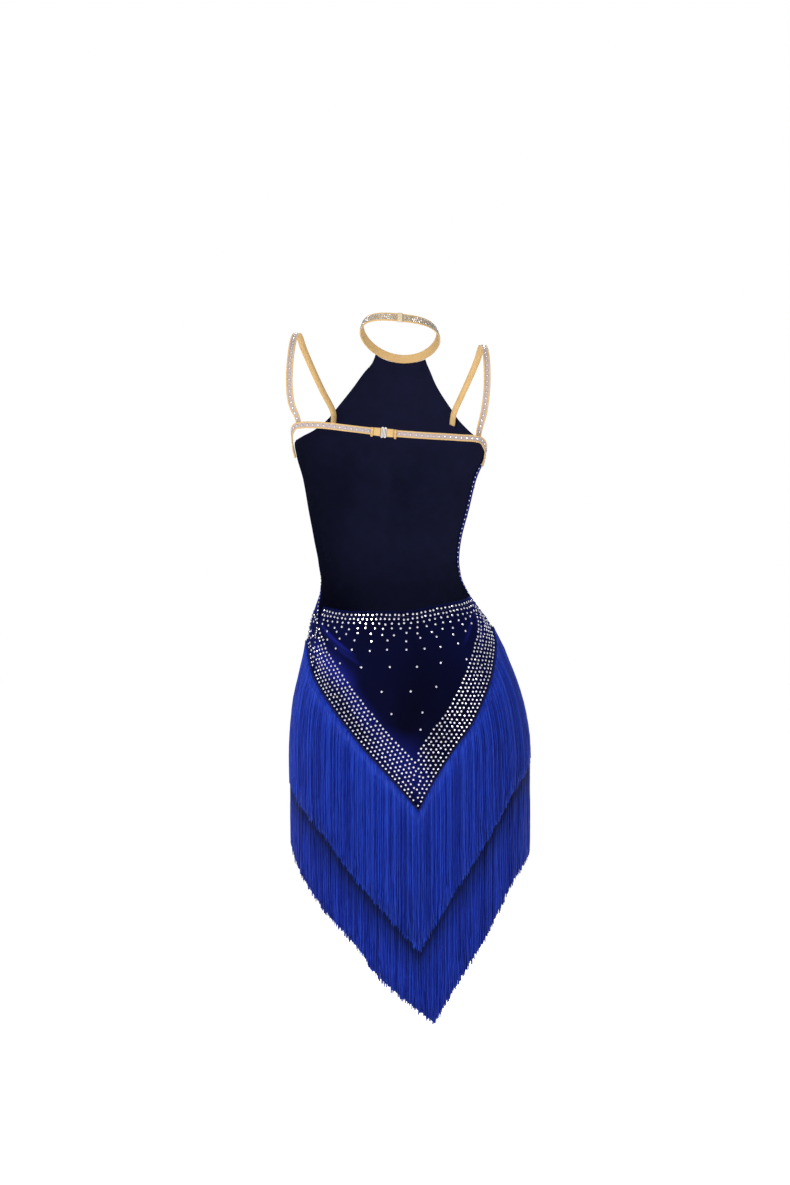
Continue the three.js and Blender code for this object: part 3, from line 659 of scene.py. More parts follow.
class Look:
    """A Principled material, with short ways to add nodes to it."""

    def __init__(self, name, **sockets):
        self.material = bpy.data.materials.new(name)
        self.material.use_nodes = True
        self.tree = self.material.node_tree
        self.shader = self.tree.nodes["Principled BSDF"]
        for socket, value in sockets.items():
            self.shader.inputs[socket.replace("_", " ")].default_value = value

    def node(self, kind, output=0, settings=None, **inputs):
        """A node's output, after its inputs, named or numbered, are set or joined to other outputs."""
        made = self.tree.nodes.new("ShaderNode" + kind)
        for setting, value in (settings or {}).items():
            setattr(made, setting, value)
        for name, value in inputs.items():
            socket = made.inputs[int(name[1:])] if name[0] == "_" else made.inputs[name.replace("_", " ")]
            if isinstance(value, bpy.types.NodeSocket):
                self.tree.links.new(value, socket)
            else:
                socket.default_value = value
        return made.outputs[output]

    def place(self, stretch):
        """Coordinates in the frame, in metres, stretched."""
        return self.node("Mapping", Vector=self.node("TexCoord", "Object"), Scale=stretch)

    def own(self):
        """The piece's own three values."""
        return self.node("Attribute", "Vector", {"attribute_name": "lay"})

    def own_apart(self):
        return self.node("SeparateXYZ", Vector=self.own()).node.outputs

    def noise(self, scale, detail=2, distortion=0, stretch=(1, 1, 1)):
        where = self.place(stretch)
        return self.node("TexNoise", "Fac", Vector=where, Scale=scale, Detail=detail, Distortion=distortion)

    def wave(self, where, scale, distortion=0, direction="X"):
        setting = {"bands_direction": direction}
        return self.node("TexWave", "Fac", setting, Vector=where, Scale=scale, Distortion=distortion)

    def ramp(self, factor, *stops):
        """Colours along a factor. stops: (position, colour)."""
        made = self.node("ValToRGB", _0=factor)
        elements = made.node.color_ramp.elements
        while len(elements) < len(stops):
            elements.new(0.5)
        for element, (position, colour) in zip(elements, stops):
            element.position = position
            element.color = (*colour, 1)
        return made

    def ranged(self, factor, low, high, from_low=0, from_high=1):
        return self.node("MapRange", _0=factor, _1=from_low, _2=from_high, _3=low, _4=high)

    def mixed(self, share, first, second, blend="MIX"):
        """first and second: colours or sockets."""
        first, second = ((*colour, 1) if isinstance(colour, tuple) else colour for colour in (first, second))
        return self.node("Mix", 2, {"data_type": "RGBA", "blend_type": blend}, _0=share, _6=first, _7=second)

    def sum(self, first, second, share=1.0):
        """first plus share of second."""
        return self.node("Math", 0, {"operation": "MULTIPLY_ADD"}, _0=second, _1=share, _2=first)

    def drive(self, **sockets):
        for socket, value in sockets.items():
            self.tree.links.new(value, self.shader.inputs[socket.replace("_", " ")])

    def bump(self, height, distance, strength):
        """Raises the surface by height, at most distance metres."""
        self.drive(Normal=self.node("Bump", Height=height, Distance=distance, Strength=strength))


def velvet_look():
    """Stretch velvet. A painted sheen turns it blue seen edge on and where its third own value is high."""
    look = Look(
        "stretch_velvet", Roughness=0.9, Specular_IOR_Level=0.03,
        Sheen_Weight=0.45, Sheen_Roughness=0.3, Sheen_Tint=(0.03, 0.06, 0.8, 1),
    )
    crush = look.noise(9, detail=3, distortion=0.6, stretch=(1, 1, 0.35))
    pile = look.noise(1600)
    nap = look.sum(crush, pile, 0.2)
    # painted sheen: the base colour turns from near black to blue where the velvet is seen edge on
    flat_on = look.ramp(nap, (0.45, (0.0006, 0.0007, 0.0065)), (0.85, (0.0014, 0.002, 0.018)))
    edge_on = look.ramp(nap, (0.45, (0.002, 0.004, 0.045)), (0.85, (0.006, 0.011, 0.12)))
    even = look.mixed(look.node("LayerWeight", "Facing", Blend=0.3), flat_on, edge_on)
    # painted sheen from the strokes table, and paler painted highlights along the crests of folds
    painted_sheen = look.own_apart()[2]
    shining = look.ranged(look.sum(painted_sheen, crush, 0.35), 0, 1, from_low=0.22, from_high=1.15)
    lit = look.ramp(pile, (0.3, (0.006, 0.009, 0.14)), (0.75, (0.010, 0.015, 0.22)))
    ridge = look.mixed(look.ranged(painted_sheen, 0, 1, from_low=0.9, from_high=1.5), lit, (0.022, 0.032, 0.24))
    look.drive(Base_Color=look.mixed(shining, even, ridge), Roughness=look.ranged(crush, 0.8, 0.95))
    look.bump(pile, distance=0.0004, strength=0.4)
    return look.material


def knit_look(name, dark, light, rough=0.8):
    """The knitted back of the velvet, or the plain cloth under the fringe: fine columns of loops."""
    look = Look(name, Roughness=rough, Specular_IOR_Level=0.12)
    columns = look.wave(look.own(), 0.35, distortion=0.4)
    uneven = look.noise(60, detail=3)
    look.drive(Base_Color=look.mixed(look.sum(uneven, columns, 0.3), dark, light))
    look.bump(columns, distance=0.0004, strength=0.5)
    return look.material


def fringe_look(name, sheltered, *shade):
    """Lustrous yarn. A strand's own values: its share down, its tone and how far out of the painted shadow it
    is.
    """
    look = Look(name, Roughness=0.4, Specular_IOR_Level=0.3, Specular_Tint=(0.35, 0.5, 1, 1))
    down, tone, out_of_painted_shadow = look.own_apart()
    streak = look.noise(800, distortion=0.3, stretch=(1, 1, 0.12))
    patch = look.noise(16, stretch=(1, 1, 0.3))
    value = look.sum(look.sum(look.ranged(tone, 0, 0.5), streak, 0.5), patch, 0.12)
    dark, blue, bright = (0.0013, 0.0082, 0.17), (0.0052, 0.0228, 0.29), (0.0140, 0.0470, 0.41)
    yarn = look.ramp(value, (0.33, dark), (0.56, blue), (0.79, bright))
    # painted shade and highlight, multiplied into the yarn's colour
    shadow = look.ramp(out_of_painted_shadow if sheltered else down, *shade)
    look.drive(Base_Color=look.mixed(1.0, yarn, shadow, "MULTIPLY"), Roughness=look.ranged(streak, 0.3, 0.52))
    twist = look.wave(look.place((1, 1, 1.6)), 210, direction="DIAGONAL")
    look.bump(twist, distance=0.0002, strength=0.35)
    return look.material


def elastic_look(name, light, dark):
    """Woven elastic, ribbed along its length. Its own values are along and across in millimetres."""
    look = Look(name, Roughness=0.72, Sheen_Weight=0.1, Specular_IOR_Level=0.3)
    ribs = look.wave(look.own(), 0.3, distortion=0.3)
    cords = look.wave(look.own(), 0.45, direction="Y")
    weave = look.sum(ribs, cords, 0.6)
    fleck = look.noise(900)
    raised = look.ranged(look.sum(weave, fleck, 0.8), 0, 1, from_low=0.3, from_high=2)
    look.drive(Base_Color=look.mixed(raised, dark, light), Roughness=look.ranged(fleck, 0.6, 0.85))
    look.bump(weave, distance=0.0003, strength=0.6)
    return look.material


def crystal_look(name, *tints):
    """Foil-backed cut glass, with painted shade round its girdle. A stone's first own value picks its tint.
    """
    look = Look(name, Metallic=0.8, Roughness=0.12, Coat_Weight=0.8, Coat_Roughness=0.03)
    own_tint, cloud, crown = look.own_apart()
    # painted glint: each stone's tint shifts across it at the scale of its facets
    painted_glint = look.noise(700)
    stops = [(k / (len(tints) - 1), tint) for k, tint in enumerate(tints)]
    glass = look.ramp(look.sum(look.ranged(own_tint, 0, 0.75), painted_glint, 0.35), *stops)
    # painted shade: darker from the table out to the girdle
    painted_facet_shade = look.ramp(crown, (0, (0.2, 0.21, 0.26)), (0.55, (0.62, 0.63, 0.68)), (1, (1, 1, 1)))
    look.drive(Base_Color=look.mixed(1, glass, painted_facet_shade, "MULTIPLY"), Roughness=look.ranged(cloud, 0.06, 0.24))
    return look.material


def clasp_look():
    """Clear moulded plastic, a little cloudy."""
    look = Look("clasp_plastic", Roughness=0.2, Transmission_Weight=0.15, IOR=1.49, Coat_Weight=0.4)
    cloud = look.noise(300)
    tint = look.ramp(cloud, (0.3, (0.60, 0.54, 0.54)), (0.7, (0.80, 0.74, 0.73)))
    look.drive(Base_Color=tint, Roughness=look.ranged(cloud, 0.15, 0.3))
    return look.material


VELVET = velvet_look()
VELVET_BACK = knit_look("velvet_back", (0.0015, 0.0018, 0.010), (0.004, 0.005, 0.024), 0.9)
UNDER_KNIT = knit_look("under_knit", (0.006, 0.014, 0.14), (0.012, 0.03, 0.26))
TAPE_KNIT = knit_look("tape_knit", (0.003, 0.005, 0.05), (0.008, 0.014, 0.12))
# Painted shade down an upper strand, with a painted highlight at its tip, and painted shadow under the upper
# hem.
UPPER_SHADE = (0, (1, 1, 1)), (0.3, (0.9, 0.9, 0.92)), (0.955, (0.8, 0.78, 0.84)), (0.985, (1.3, 1.25, 1.15))
LOWER_SHADE = (0.12, (0.12, 0.12, 0.18)), (0.3, (0.42, 0.42, 0.5)), (0.75, (0.72, 0.68, 0.8))
UPPER_YARN = fringe_look("upper_yarn", False, *UPPER_SHADE)
LOWER_YARN = fringe_look("lower_yarn", True, *LOWER_SHADE)
NUDE = elastic_look("nude_elastic", (0.68, 0.46, 0.19), (0.45, 0.27, 0.105))
PALE = elastic_look("pale_elastic", (0.62, 0.52, 0.36), (0.42, 0.34, 0.22))
NUDE_NET = elastic_look("nude_net", (0.50, 0.40, 0.36), (0.28, 0.22, 0.21))
CRYSTAL = crystal_look("crystal", (0.82, 0.86, 1), (0.97, 0.97, 1), (0.90, 0.84, 0.98), (1, 1, 1))
ROSE, LILAC, GREEN, SMOKE, MILK = (
    (0.72, 0.54, 0.58), (0.86, 0.84, 0.87), (0.44, 0.56, 0.44), (0.42, 0.33, 0.46), (0.96, 0.93, 0.88)
)
PEARL_CRYSTAL = crystal_look("pearl_crystal", SMOKE, LILAC, GREEN, ROSE, MILK)
CLASP_PLASTIC = clasp_look()
NAVY_THREAD = elastic_look("navy_thread", (0.02, 0.032, 0.2), (0.008, 0.012, 0.08))
NUDE_THREAD = elastic_look("nude_thread", (0.8, 0.64, 0.4), (0.6, 0.42, 0.2))

# ---------------------------------------------------------------- the cloth panels


def lay_values(turn, drop, third=0.0):
    """A cloth's own values: how far round and down, and a third."""
    return np.stack(np.broadcast_arrays(turn * TURN_MM, drop, third), -1)


def build_panel(name, node, turn, drop, slot, looks, thick):
    """A thin shell on the solid's form, from grids of turns and drops."""
    outer, _, _ = on_dress(turn, drop)
    inner, _, _ = on_dress(turn, drop, -thick)
    body = Body()
    # the third own value: where the velvet gets its painted sheen
    add_shell(body, outer, inner, thick / ROUND_EDGE, lay_values(turn, drop, strokes(PAINTED_SHEEN_STROKES, turn, drop)), 1)
    body.build(name, looks, slot, node)


def build_cloth():
    velvet = "velvet", [VELVET, VELVET_BACK], VELVET_THICK
    under = "under_cloth", [UNDER_KNIT, UNDER_KNIT], UNDER_THICK
    first, last = SIDE_EDGE["drop"][[0, -1]]
    level = np.linspace(first, last, int((last - first) / FRONT_ROW))[:, None]
    right, left = side_turns(level)
    right, left = right + SEAM_TURN, left - SEAM_TURN
    turn = right + (left - right) * np.linspace(0, 1, COLUMNS["front"])
    build_panel("velvet_front", "front_panel", turn, front_drop(level, turn), *velvet)
    turn = turns_within(BACK, SEAM_TURN, COLUMNS["back"])
    drop = between(look_up(BACK_NECK, "turn", "drop", turn), yoke_hem(turn), ROWS["back"])
    build_panel("velvet_back", "back_yoke", turn, drop, *velvet)
    for side, ends in (("back", BACK), ("front", FRONT)):
        turn = turns_within(ends, SEAM_TURN, COLUMNS[f"under_{side}"])
        drop = between(yoke_hem(turn) + SEAM, tier_line(LOWER, "top", turn), ROWS["under"])
        build_panel(f"under_{side}", f"underskirt_{side}", turn, drop, *under)


# ---------------------------------------------------------------- the fringe


def lock_up(root, offset):
    """The middle of each strand's lock along the hips, and two random shares of the lock."""
    lock = np.floor(root / LOCK["wide"] + offset).astype(int)
    shift, short, tone = chance.uniform(0, 1, (3, lock.max() + 1))[:, lock]
    return (lock + 0.5 - offset + LOCK["shift"] * (shift - 0.5)) * LOCK["wide"], short, tone


def add_strands(body, tier, ends):
    """Layers of fine strands that hang from the tape and cling together in locks at their ends."""
    turns = turns_within(ends, SEAM_TURN, POINTS["hips"])
    lengths = length_along(skin(turns, HIP_DROP))
    round_hips = lengths[-1]
    count = int(round_hips / STRAND["pitch"])
    sides = STRAND["sides"]
    share = np.linspace(0, 1, STRAND["joints"])
    pulled, flicked, narrowed = (smooth(share, BEGINS[key], 1) for key in ("pull", "flick", "taper"))
    for layer, cling in enumerate(LAYERS):
        # where the strands hang: each layer half a pitch beside the one under it
        loose = STRAND["loose"] if layer else 0
        root = (np.arange(count) + 0.5 * (layer % 2) + 0.25) * round_hips / count
        root = root + chance.uniform(-loose, loose, count) * STRAND["pitch"]
        centre, lock_short, lock_tone = lock_up(root, layer / len(LAYERS))
        phase = chance.uniform(0, 2 * np.pi, (count, 1))
        sway = 0
        for reach, half_turns, phases in zip(*WAVES.values()):
            sway = sway + reach * share * np.sin(half_turns * np.pi * share + phases * phase)
        sway = sway + chance.normal(0, STRAND["flick"], (count, 1)) * flicked
        pull = (centre - root)[:, None] * (cling * LOCK["pull"] * pulled)
        place = np.clip(root[:, None] + pull + sway * cling, 0, round_hips)
        turn = np.interp(place, lengths, turns)
        lock_turn = np.interp(np.clip(centre, 0, round_hips), lengths, turns)[:, None]
        # how far down they reach
        top = tier_line(tier, "top", turn[:, :1]) + tier["shift"] + TAPE["shown"]
        stray = LOCK["stray"] * (1 - chance.uniform(0, 1, count) ** 3)
        aside = np.abs(root - centre) / LOCK["wide"]
        short = LOCK["ragged"] * 2 * aside + LOCK["uneven"] * lock_short + stray
        short = short * (INMOST["short"] + (1 - INMOST["short"]) * cling)
        lock_hem, own_hem = tier_line(tier, "hem", lock_turn), tier_line(tier, "hem", turn[:, -1:])
        hem = LOCK["level"] * lock_hem + (1 - LOCK["level"]) * own_hem
        drop = top + (hem + LOCK["longer"] - short[:, None] - top) * share
        # how far out they lie, and how thick they are
        ripple = np.sin(RIPPLE["half_turns"] * np.pi * share + RIPPLE["phases"] * phase)
        apart = layer * STRAND["apart"] + RIPPLE["reach"] * cling * ripple
        out = tier["lift"] + STRAND["radius"] + smooth(share, 0, SPREAD_BY) * apart
        centres, around, normal = on_dress(turn, drop, out + tier["drape"] * np.minimum(1, DRAPED * share))
        stout = STRAND["radius"] * (1 + (INMOST["stout"] - 1) * (1 - cling))
        radius = stout * chance.uniform(STRAND["thin"], STRAND["thick"], (count, 1))
        radius = (radius * (1 - STRAND["taper"] * cling * narrowed))[:, :, None, None]
        angle = (np.arange(sides) * 2 * np.pi / sides + phase)[:, None, :, None]
        rings = around[:, :, None] * np.cos(angle) + normal[:, :, None] * np.sin(angle)
        # their own values
        tone = (1 - LOCK["tone"]) * chance.uniform(0, 1, count) + LOCK["tone"] * lock_tone
        # how far out of the painted shadow under the upper hem; none on the inmost layer
        out_of_painted_shadow = np.clip((drop - tier_line(UPPER, "hem", turn)) / SHELTER, 0, 1)
        out_of_painted_shadow = np.maximum(out_of_painted_shadow, layer == 0)
        values = np.stack(np.broadcast_arrays(share, tone[:, None], out_of_painted_shadow), -1)
        values = np.repeat(values[:, :, None], sides, axis=2)
        add_tubes(body, centres[:, :, None] + radius * rings, values, (1,))


def build_fringe(level, side, tier, ends, yarn):
    """One stretch of fringe with the tape that it hangs from."""
    body = Body()
    turn = turns_within(ends, SEAM_TURN, COLUMNS["tape"])
    top = tier_line(tier, "top", turn) + tier["shift"]
    drop = between(top, top + TAPE["tall"], ROWS["tape"])
    outer, _, _ = on_dress(turn, drop, LAY + TAPE["thick"])
    inner, _, _ = on_dress(turn, drop, LAY)
    add_shell(body, outer, inner, TAPE["thick"] / ROUND_EDGE, lay_values(turn, drop))
    add_strands(body, tier, ends)
    body.build(f"strands_{level}_{side}", [TAPE_KNIT, yarn], "fringe", f"fringe_{level}_{side}")


def build_fringes():
    for side, ends in (("back", BACK), ("front", FRONT)):
        build_fringe("upper", side, UPPER, ends, UPPER_YARN)
        build_fringe("lower", side, LOWER, ends, LOWER_YARN)


# ---------------------------------------------------------------- the straps


def curve(points):
    """Points close together on a smooth curve through the given ones, each span as even as its length."""
    p = np.array(points, float)
    p = np.vstack([2 * p[0] - p[1], p, 2 * p[-1] - p[-2]])
    knots = np.linalg.norm(np.diff(p, axis=0), axis=1) ** 0.5
    t = np.linspace(0, 1, POINTS["span"], endpoint=False)[:, None]
    spans = []
    for k in range(len(p) - 3):
        a, b, c, d = p[k : k + 4]
        ab, bc, cd = knots[k : k + 3]
        start = ((b - a) / ab - (c - a) / (ab + bc) + (c - b) / bc) * bc
        end = ((c - b) / bc - (d - b) / (bc + cd) + (d - c) / cd) * bc
        square = 3 * c - 3 * b - 2 * start - end
        cube = 2 * b - 2 * c + start + end
        spans.append(b + start * t + square * t**2 + cube * t**3)
    return np.vstack([*spans, p[-2:-1]])


def stations(points, outward):
    """Even places along a curve: each place, its normal, the direction across it and how far along it is."""
    fine = curve(points)
    length = length_along(fine)
    along = np.linspace(0, length[-1], int(length[-1] / STATION) + 1)
    place = np.stack([np.interp(along, length, fine[:, axis]) for axis in range(3)], -1)
    tangent = unit(np.gradient(place, axis=0))
    away = outward(place)
    normal = unit(away - tangent * dot(away, tangent)[:, None])
    return {"place": place, "normal": normal, "across": np.cross(tangent, normal), "along": along}


def at_stations(places, at):
    """The place, the normal and the direction across a strap, at some lengths along it."""
    return (
        np.stack([np.interp(at, places["along"], places[key][:, axis]) for axis in range(3)], -1)
        for key in ("place", "normal", "across")
    )


def path(rows):
    return [(x, y, -drop) for x, y, drop in rows]


def laid(rows):
    return [on_dress(turn, drop, out)[0] for turn, drop, out in rows]


def back_strap_stations(side):
    points = [*path(BACK_STRAPS[side]), *laid(BACK_STRAP_END[side])]
    return stations(points, lambda place: unit(place * BLADE_WAY))


def shoulder_strap_stations(side):
    joint = back_strap_stations(side)
    k = np.searchsorted(joint["along"], STRAP_JOINT[side])
    normal = joint["normal"][k]
    start = joint["place"][k] - normal * STRAP_JOINT["inside"]

    def outward(place):
        low = np.clip((start[2] + SHOULDER_WAY["joint"] - place[:, 2:]) / SHOULDER_WAY["turn"], 0, 1)
        blade = np.array((0, -1, 0)) * (1 - low) + normal * low
        share = np.clip(place[:, 1:2] / SHOULDER_WAY["level"], -1, 1)
        sideways = np.where(share < 0, blade, np.array(CHEST_WAY[side])) * np.abs(share)
        return unit(sideways + np.array((0, 0, 1)) * (1 - np.abs(share)))

    ends = [start - (0, 0, STRAP_JOINT["below"]), start + (0, 0, STRAP_JOINT["above"])]
    return stations([*ends, *path(SHOULDER_STRAPS[side]), *laid(STRAP_FRONT[side])], outward)


def add_tape(body, places, wide, rise, slots=(0,)):
    """A tape along a path, from its section's places across and heights."""
    across, normal = (places[key][:, None] for key in ("across", "normal"))
    rings = places["place"][:, None] + across * wide[:, None] + normal * rise[:, None]
    values = np.zeros(rings.shape)
    values[..., 0] = places["along"][:, None]
    values[..., 1] = wide
    add_tubes(body, rings[None], values[None], slots)


def build_strap(kind, side, places):
    """A flat elastic strap. It returns the places, the ways across and the normals of one row of stones."""
    body = Body()
    slots = [int(face == NET_FACE) for face in range(len(STRAP_SECTION))]
    add_tape(body, places, STRAP_SECTION[:, 0] * STRAP_WIDTH, STRAP_SECTION[:, 1], slots)
    if kind == "back":
        count = np.searchsorted(places["along"], FOLD_LENGTH) + 1
        doubled = {key: value[:count] for key, value in places.items()}
        wide = FOLD_SECTION[:, 0] * STRAP_WIDTH * (1 + FOLD["flare"])
        add_tape(body, doubled, wide, FOLD["low"] + FOLD_SECTION[:, 1] * (FOLD["high"] - FOLD["low"]))
    body.build(f"{kind}_tape_{side}", [NUDE, NUDE_NET], "nude_elastic", f"{kind}_strap_{side}")
    at = np.arange(STRAP_STONES[kind], places["along"][-1] - STRAP_STONES["pitch"], STRAP_STONES["pitch"])
    place, normal, across = at_stations(places, at)
    return place + normal * STRAP_SECTION[NET_FACE, 1], unit(across), unit(normal)


def build_keeper(side):
    """A small loop of elastic round the strap, with a tail that hangs below it."""
    places = back_strap_stations(side)
    k = np.searchsorted(places["along"], KEEPER["away"])
    at, normal, across = (places[key][k] for key in ("place", "normal", "across"))
    up = across * np.sign(across[2])
    along = np.cross(normal, up)
    # a loop of rounded corners, deep across the strap and tall along up
    angle = np.linspace(0, 2 * np.pi, KEEPER_FORM["joints"], endpoint=False)
    round_x, round_y = (
        np.sign(wave) * np.abs(wave) ** KEEPER_FORM["square"] for wave in (np.cos(angle), np.sin(angle))
    )
    loops = []
    for grow in (0, -KEEPER["wall"]):
        loop_x, loop_y = (KEEPER["deep"] + grow) * round_x, (KEEPER["tall"] + grow) * round_y
        loops.append(at + normal * loop_x[:, None] + up * loop_y[:, None])
    outer, inner = loops
    half, middle = along * KEEPER["wide"] / 2, (outer + inner) / 2
    flat = half * KEEPER_FORM["flat"]
    corners = outer - flat, outer + flat, middle + half, inner + flat, inner - flat, middle - half
    section = np.stack(corners, 1)
    values = np.zeros(section.shape)
    values[..., 0] = (angle * KEEPER["tall"])[:, None]
    body = Body()
    add_tubes(body, section[None], values[None], closed=True)
    # the tail: a short flat tab, a little narrower at its end
    length = np.linspace(KEEPER_FORM["tail_top"], -KEEPER["tail"], KEEPER_FORM["tail_joints"])
    wide = np.interp(length, TAIL_WIDTHS["height"], TAIL_WIDTHS["share"]) * KEEPER["wide"] / 2
    hang = at + up * (length - KEEPER["tall"])[:, None]
    sideways = along * (TAIL_CORNERS[:, 0] * wide[:, None])[..., None]
    tail = hang[:, None] + sideways + normal * (TAIL_CORNERS[:, 1] * KEEPER_FORM["tail_half"])[:, None]
    add_tubes(body, tail[None])
    body.build(f"keeper_{side}", [NUDE], "nude_elastic", f"strap_keeper_{side}")


def build_clasp():
    """Two plates of clear plastic, each a rounded loop that a folded strap passes through."""
    left, right = (np.array(path(BACK_STRAPS[side]))[0] for side in ("left", "right"))
    centre = (left + right) / 2
    slant = math.atan2(right[2] - left[2], right[0] - left[0])
    across = np.array((math.cos(slant), 0, math.sin(slant)))
    up = np.array((-math.sin(slant), 0, math.cos(slant)))
    out = np.array((0, -1.0, 0))
    bar = CLASP["bar"]
    wide, tall = CLASP["plate"] / 2 - bar / 2, CLASP["tall"] / 2 - bar / 2
    angle = np.linspace(0, 2 * np.pi, CLASP_JOINTS["round"], endpoint=False)
    bend = np.sin(angle)
    y = (tall - wide) * np.sign(bend) + wide * bend
    y = np.where(np.abs(bend) < 0.05, y * 0.98, y)  # keeps a straight bar's end off the bend's first ring
    centreline = np.stack([wide * np.cos(angle), y], -1)
    ahead = unit(np.roll(centreline, -1, 0) - np.roll(centreline, 1, 0))
    sideways = np.stack([ahead[:, 1], -ahead[:, 0]], -1)
    around = np.arange(CLASP_JOINTS["bar"]) * 2 * np.pi / CLASP_JOINTS["bar"]
    plane = centreline[:, None] + sideways[:, None] * (np.cos(around) * bar / 2)[:, None]
    rise = np.sin(around) * CLASP["thick"] / 2
    for name, sign in (("clasp_loop", -1), ("clasp_hook", 1)):
        middle = centre + across * sign * (CLASP["plate"] + SEAM) / 2
        rings = middle + across * plane[..., :1] + up * plane[..., 1:] + out * rise[:, None]
        body = Body()
        add_tubes(body, rings[None], closed=True)
        body.build(f"{name}_ribs", [CLASP_PLASTIC], "clear_plastic", name)


def build_stones(name, look, diameter, groups):
    """A piece made of stones, from groups of their places and the directions round and out."""
    body = Body()
    for place, around, normal in groups:
        add_gems(body, place, around, normal, diameter)
    body.build(name, [look], "clear_plastic", smooth_faces=False)


def build_straps():
    stones = []
    for side in ("left", "right"):
        stones.append(build_strap("back", side, back_strap_stations(side)))
        stones.append(build_strap("shoulder", side, shoulder_strap_stations(side)))
        build_keeper(side)
    build_stones("strap_stones", CRYSTAL, STONE["strap"], stones)
    build_clasp()


def build_neck_piece(name, node, look, turn, section, tall, outside, inside, along):
    """The neckband or its tab, from its section. along: how far its first own value runs for each degree."""
    height, puff = section["height"][:, None] * tall, section["puff"][:, None]
    outer = neck_place(turn, height, outside + puff)
    inner = neck_place(turn, height, inside(puff))
    values = np.stack(np.broadcast_arrays(turn * along, height, 0.0), -1)
    body = Body()
    add_shell(body, outer, inner, NECK_FORM["rim"], values)
    body.build(name, [look], "nude_elastic", node)


def build_neckband():
    """A firm elastic collar, covered with small pearly stones, and the tab that closes it at the back."""
    turn = turns_within((0, 360), NECK_FORM["gap"], NECK_FORM["joints"])
    build_neck_piece(
        "neck_elastic", "neckband", NUDE, turn, NECK_SECTION, NECK["tall"],
        0, lambda puff: -NECK["thick"] - puff * NECK_FORM["puff_inside"], np.pi / 3,
    )
    half_tab = math.degrees(NECK_TAB["width"] / 2 / NECK["half"])
    turn = np.linspace(-half_tab, half_tab, NECK_FORM["tab_joints"])
    build_neck_piece(
        "neck_tab", "neckband_tab", PALE, turn, TAB_SECTION, NECK_TAB["tall"],
        NECK_TAB["off"] + NECK_TAB["thick"], lambda puff: NECK_TAB["off"] + 0 * puff, 1,
    )
    clear = NECK_STONES["from_tab"] * half_tab
    stones = []
    for k, level in enumerate(NECK_STONES["rows"]):
        fine = np.linspace(0, 360, POINTS["neck"], endpoint=False)
        ring = neck_place(fine, level, 0)
        length = np.cumsum(np.linalg.norm(ring - np.roll(ring, 1, 0), axis=1))
        count = int(length[-1] / (STONE["neck"] + NECK_STONES["between"]))
        at = np.interp((np.arange(count) + 0.5 * (k % 2)) * length[-1] / count, length, fine)
        at = at[(at > clear) & (at < 360 - clear)]
        place, beside, above = (
            neck_place(at + aside, level + up, NECK_STONES["off"]) for aside, up in ((0, 0), (0.5, 0), (0, 1))
        )
        around = unit(beside - place)
        stones.append((place, around, np.cross(around, unit(above - place))))
    build_stones("neck_stones", PEARL_CRYSTAL, STONE["neck"], stones)


# ---------------------------------------------------------------- rhinestones on the velvet


def shifted(turn, drop, distance):
    """A line on the dress moved over the cloth by a distance, to the left of its way seen from outside."""
    around, down = slopes(turn, drop)
    ahead = unit(np.gradient(skin(turn, drop), axis=0))
    side = np.cross(unit(np.cross(down, around)), ahead) * distance
    around_2, down_2, both = dot(around, around), dot(down, down), dot(around, down)
    side_around, side_down = dot(side, around), dot(side, down)
    scale = around_2 * down_2 - both * both
    moved_turn = (side_around * down_2 - side_down * both) / scale
    return turn + moved_turn, drop + (side_down * around_2 - side_around * both) / scale


def spaced(turn, drop, pitch, start=0.5):
    """Places along a line on the dress, a pitch apart, from a share of the pitch."""
    length = length_along(skin(turn, drop))
    at = np.arange(start * pitch, length[-1], pitch)
    return np.interp(at, length, turn), np.interp(at, length, drop)


def thinning_rows(rows, line):
    """Rows of stones that thin out downwards. line: the turns and drops of a row that is this far down."""
    for k, (below, pitch) in enumerate(zip(*NECK_ROWS.values())):
        turn, drop = spaced(*line(below), pitch * rows["wider"], rows["starts"][k % 3])
        loose = rows["loose"] * pitch
        yield turn + chance.normal(0, loose / TURN_MM, len(turn)), drop + chance.normal(0, loose, len(turn))


def back_line(below):
    """A line under the back neckline."""
    turn = turns_within(BACK, BACK_ROWS["margin"], POINTS["line"])
    return turn, look_up(BACK_NECK, "turn", "drop", turn) + below


def front_line(below):
    """A line across the front panel, under the neckband or over the cups."""
    level = FRONT_ROWS["top"] + FRONT_ROWS["taller"] * below
    turn = turns_within(side_turns(level), FRONT_ROWS["margin"], POINTS["row"])
    return turn, front_drop(level, turn)


def band_rows():
    """The band's rows, up from the edge above the fringe. Its two arms meet below the dress's points."""
    middle, last = 180, UPPER["apex"] + 360
    for from_turn, to_turn, in_step in ((UPPER["apex"], middle, IN_STEP[0]), (middle, last, IN_STEP[1])):
        turn = np.linspace(from_turn, to_turn, POINTS["round"])
        drop = tier_line(UPPER, "top", turn)
        reference = np.searchsorted(turn, in_step)
        turn, drop = shifted(turn, drop, BAND["first"])
        for k in range(BAND["rows"]):
            length = length_along(skin(turn, drop))
            start = (length[reference] / BAND["along"] + 0.5 * (k % 2)) % 1
            row_turn, row_drop = spaced(turn, drop, BAND["along"], start)
            inside = (row_turn > from_turn - BAND["over"]) & (row_turn < to_turn + BAND["over"])
            loose = chance.normal(0, BAND["loose"] if k else BAND["first_loose"], (2, inside.sum()))
            yield row_turn[inside] + loose[0] / TURN_MM, row_drop[inside] + loose[1]
            turn, drop = shifted(turn, drop, BAND["pitch"])


def side_line(side, levels, inside):
    """A line down the front panel between two levels, this far inside one of its side edges."""
    level = np.linspace(*levels, POINTS["line"])
    turn = look_up(SIDE_EDGE, "drop", side, level)
    return shifted(turn, front_drop(level, turn), inside if side == "right" else -inside)


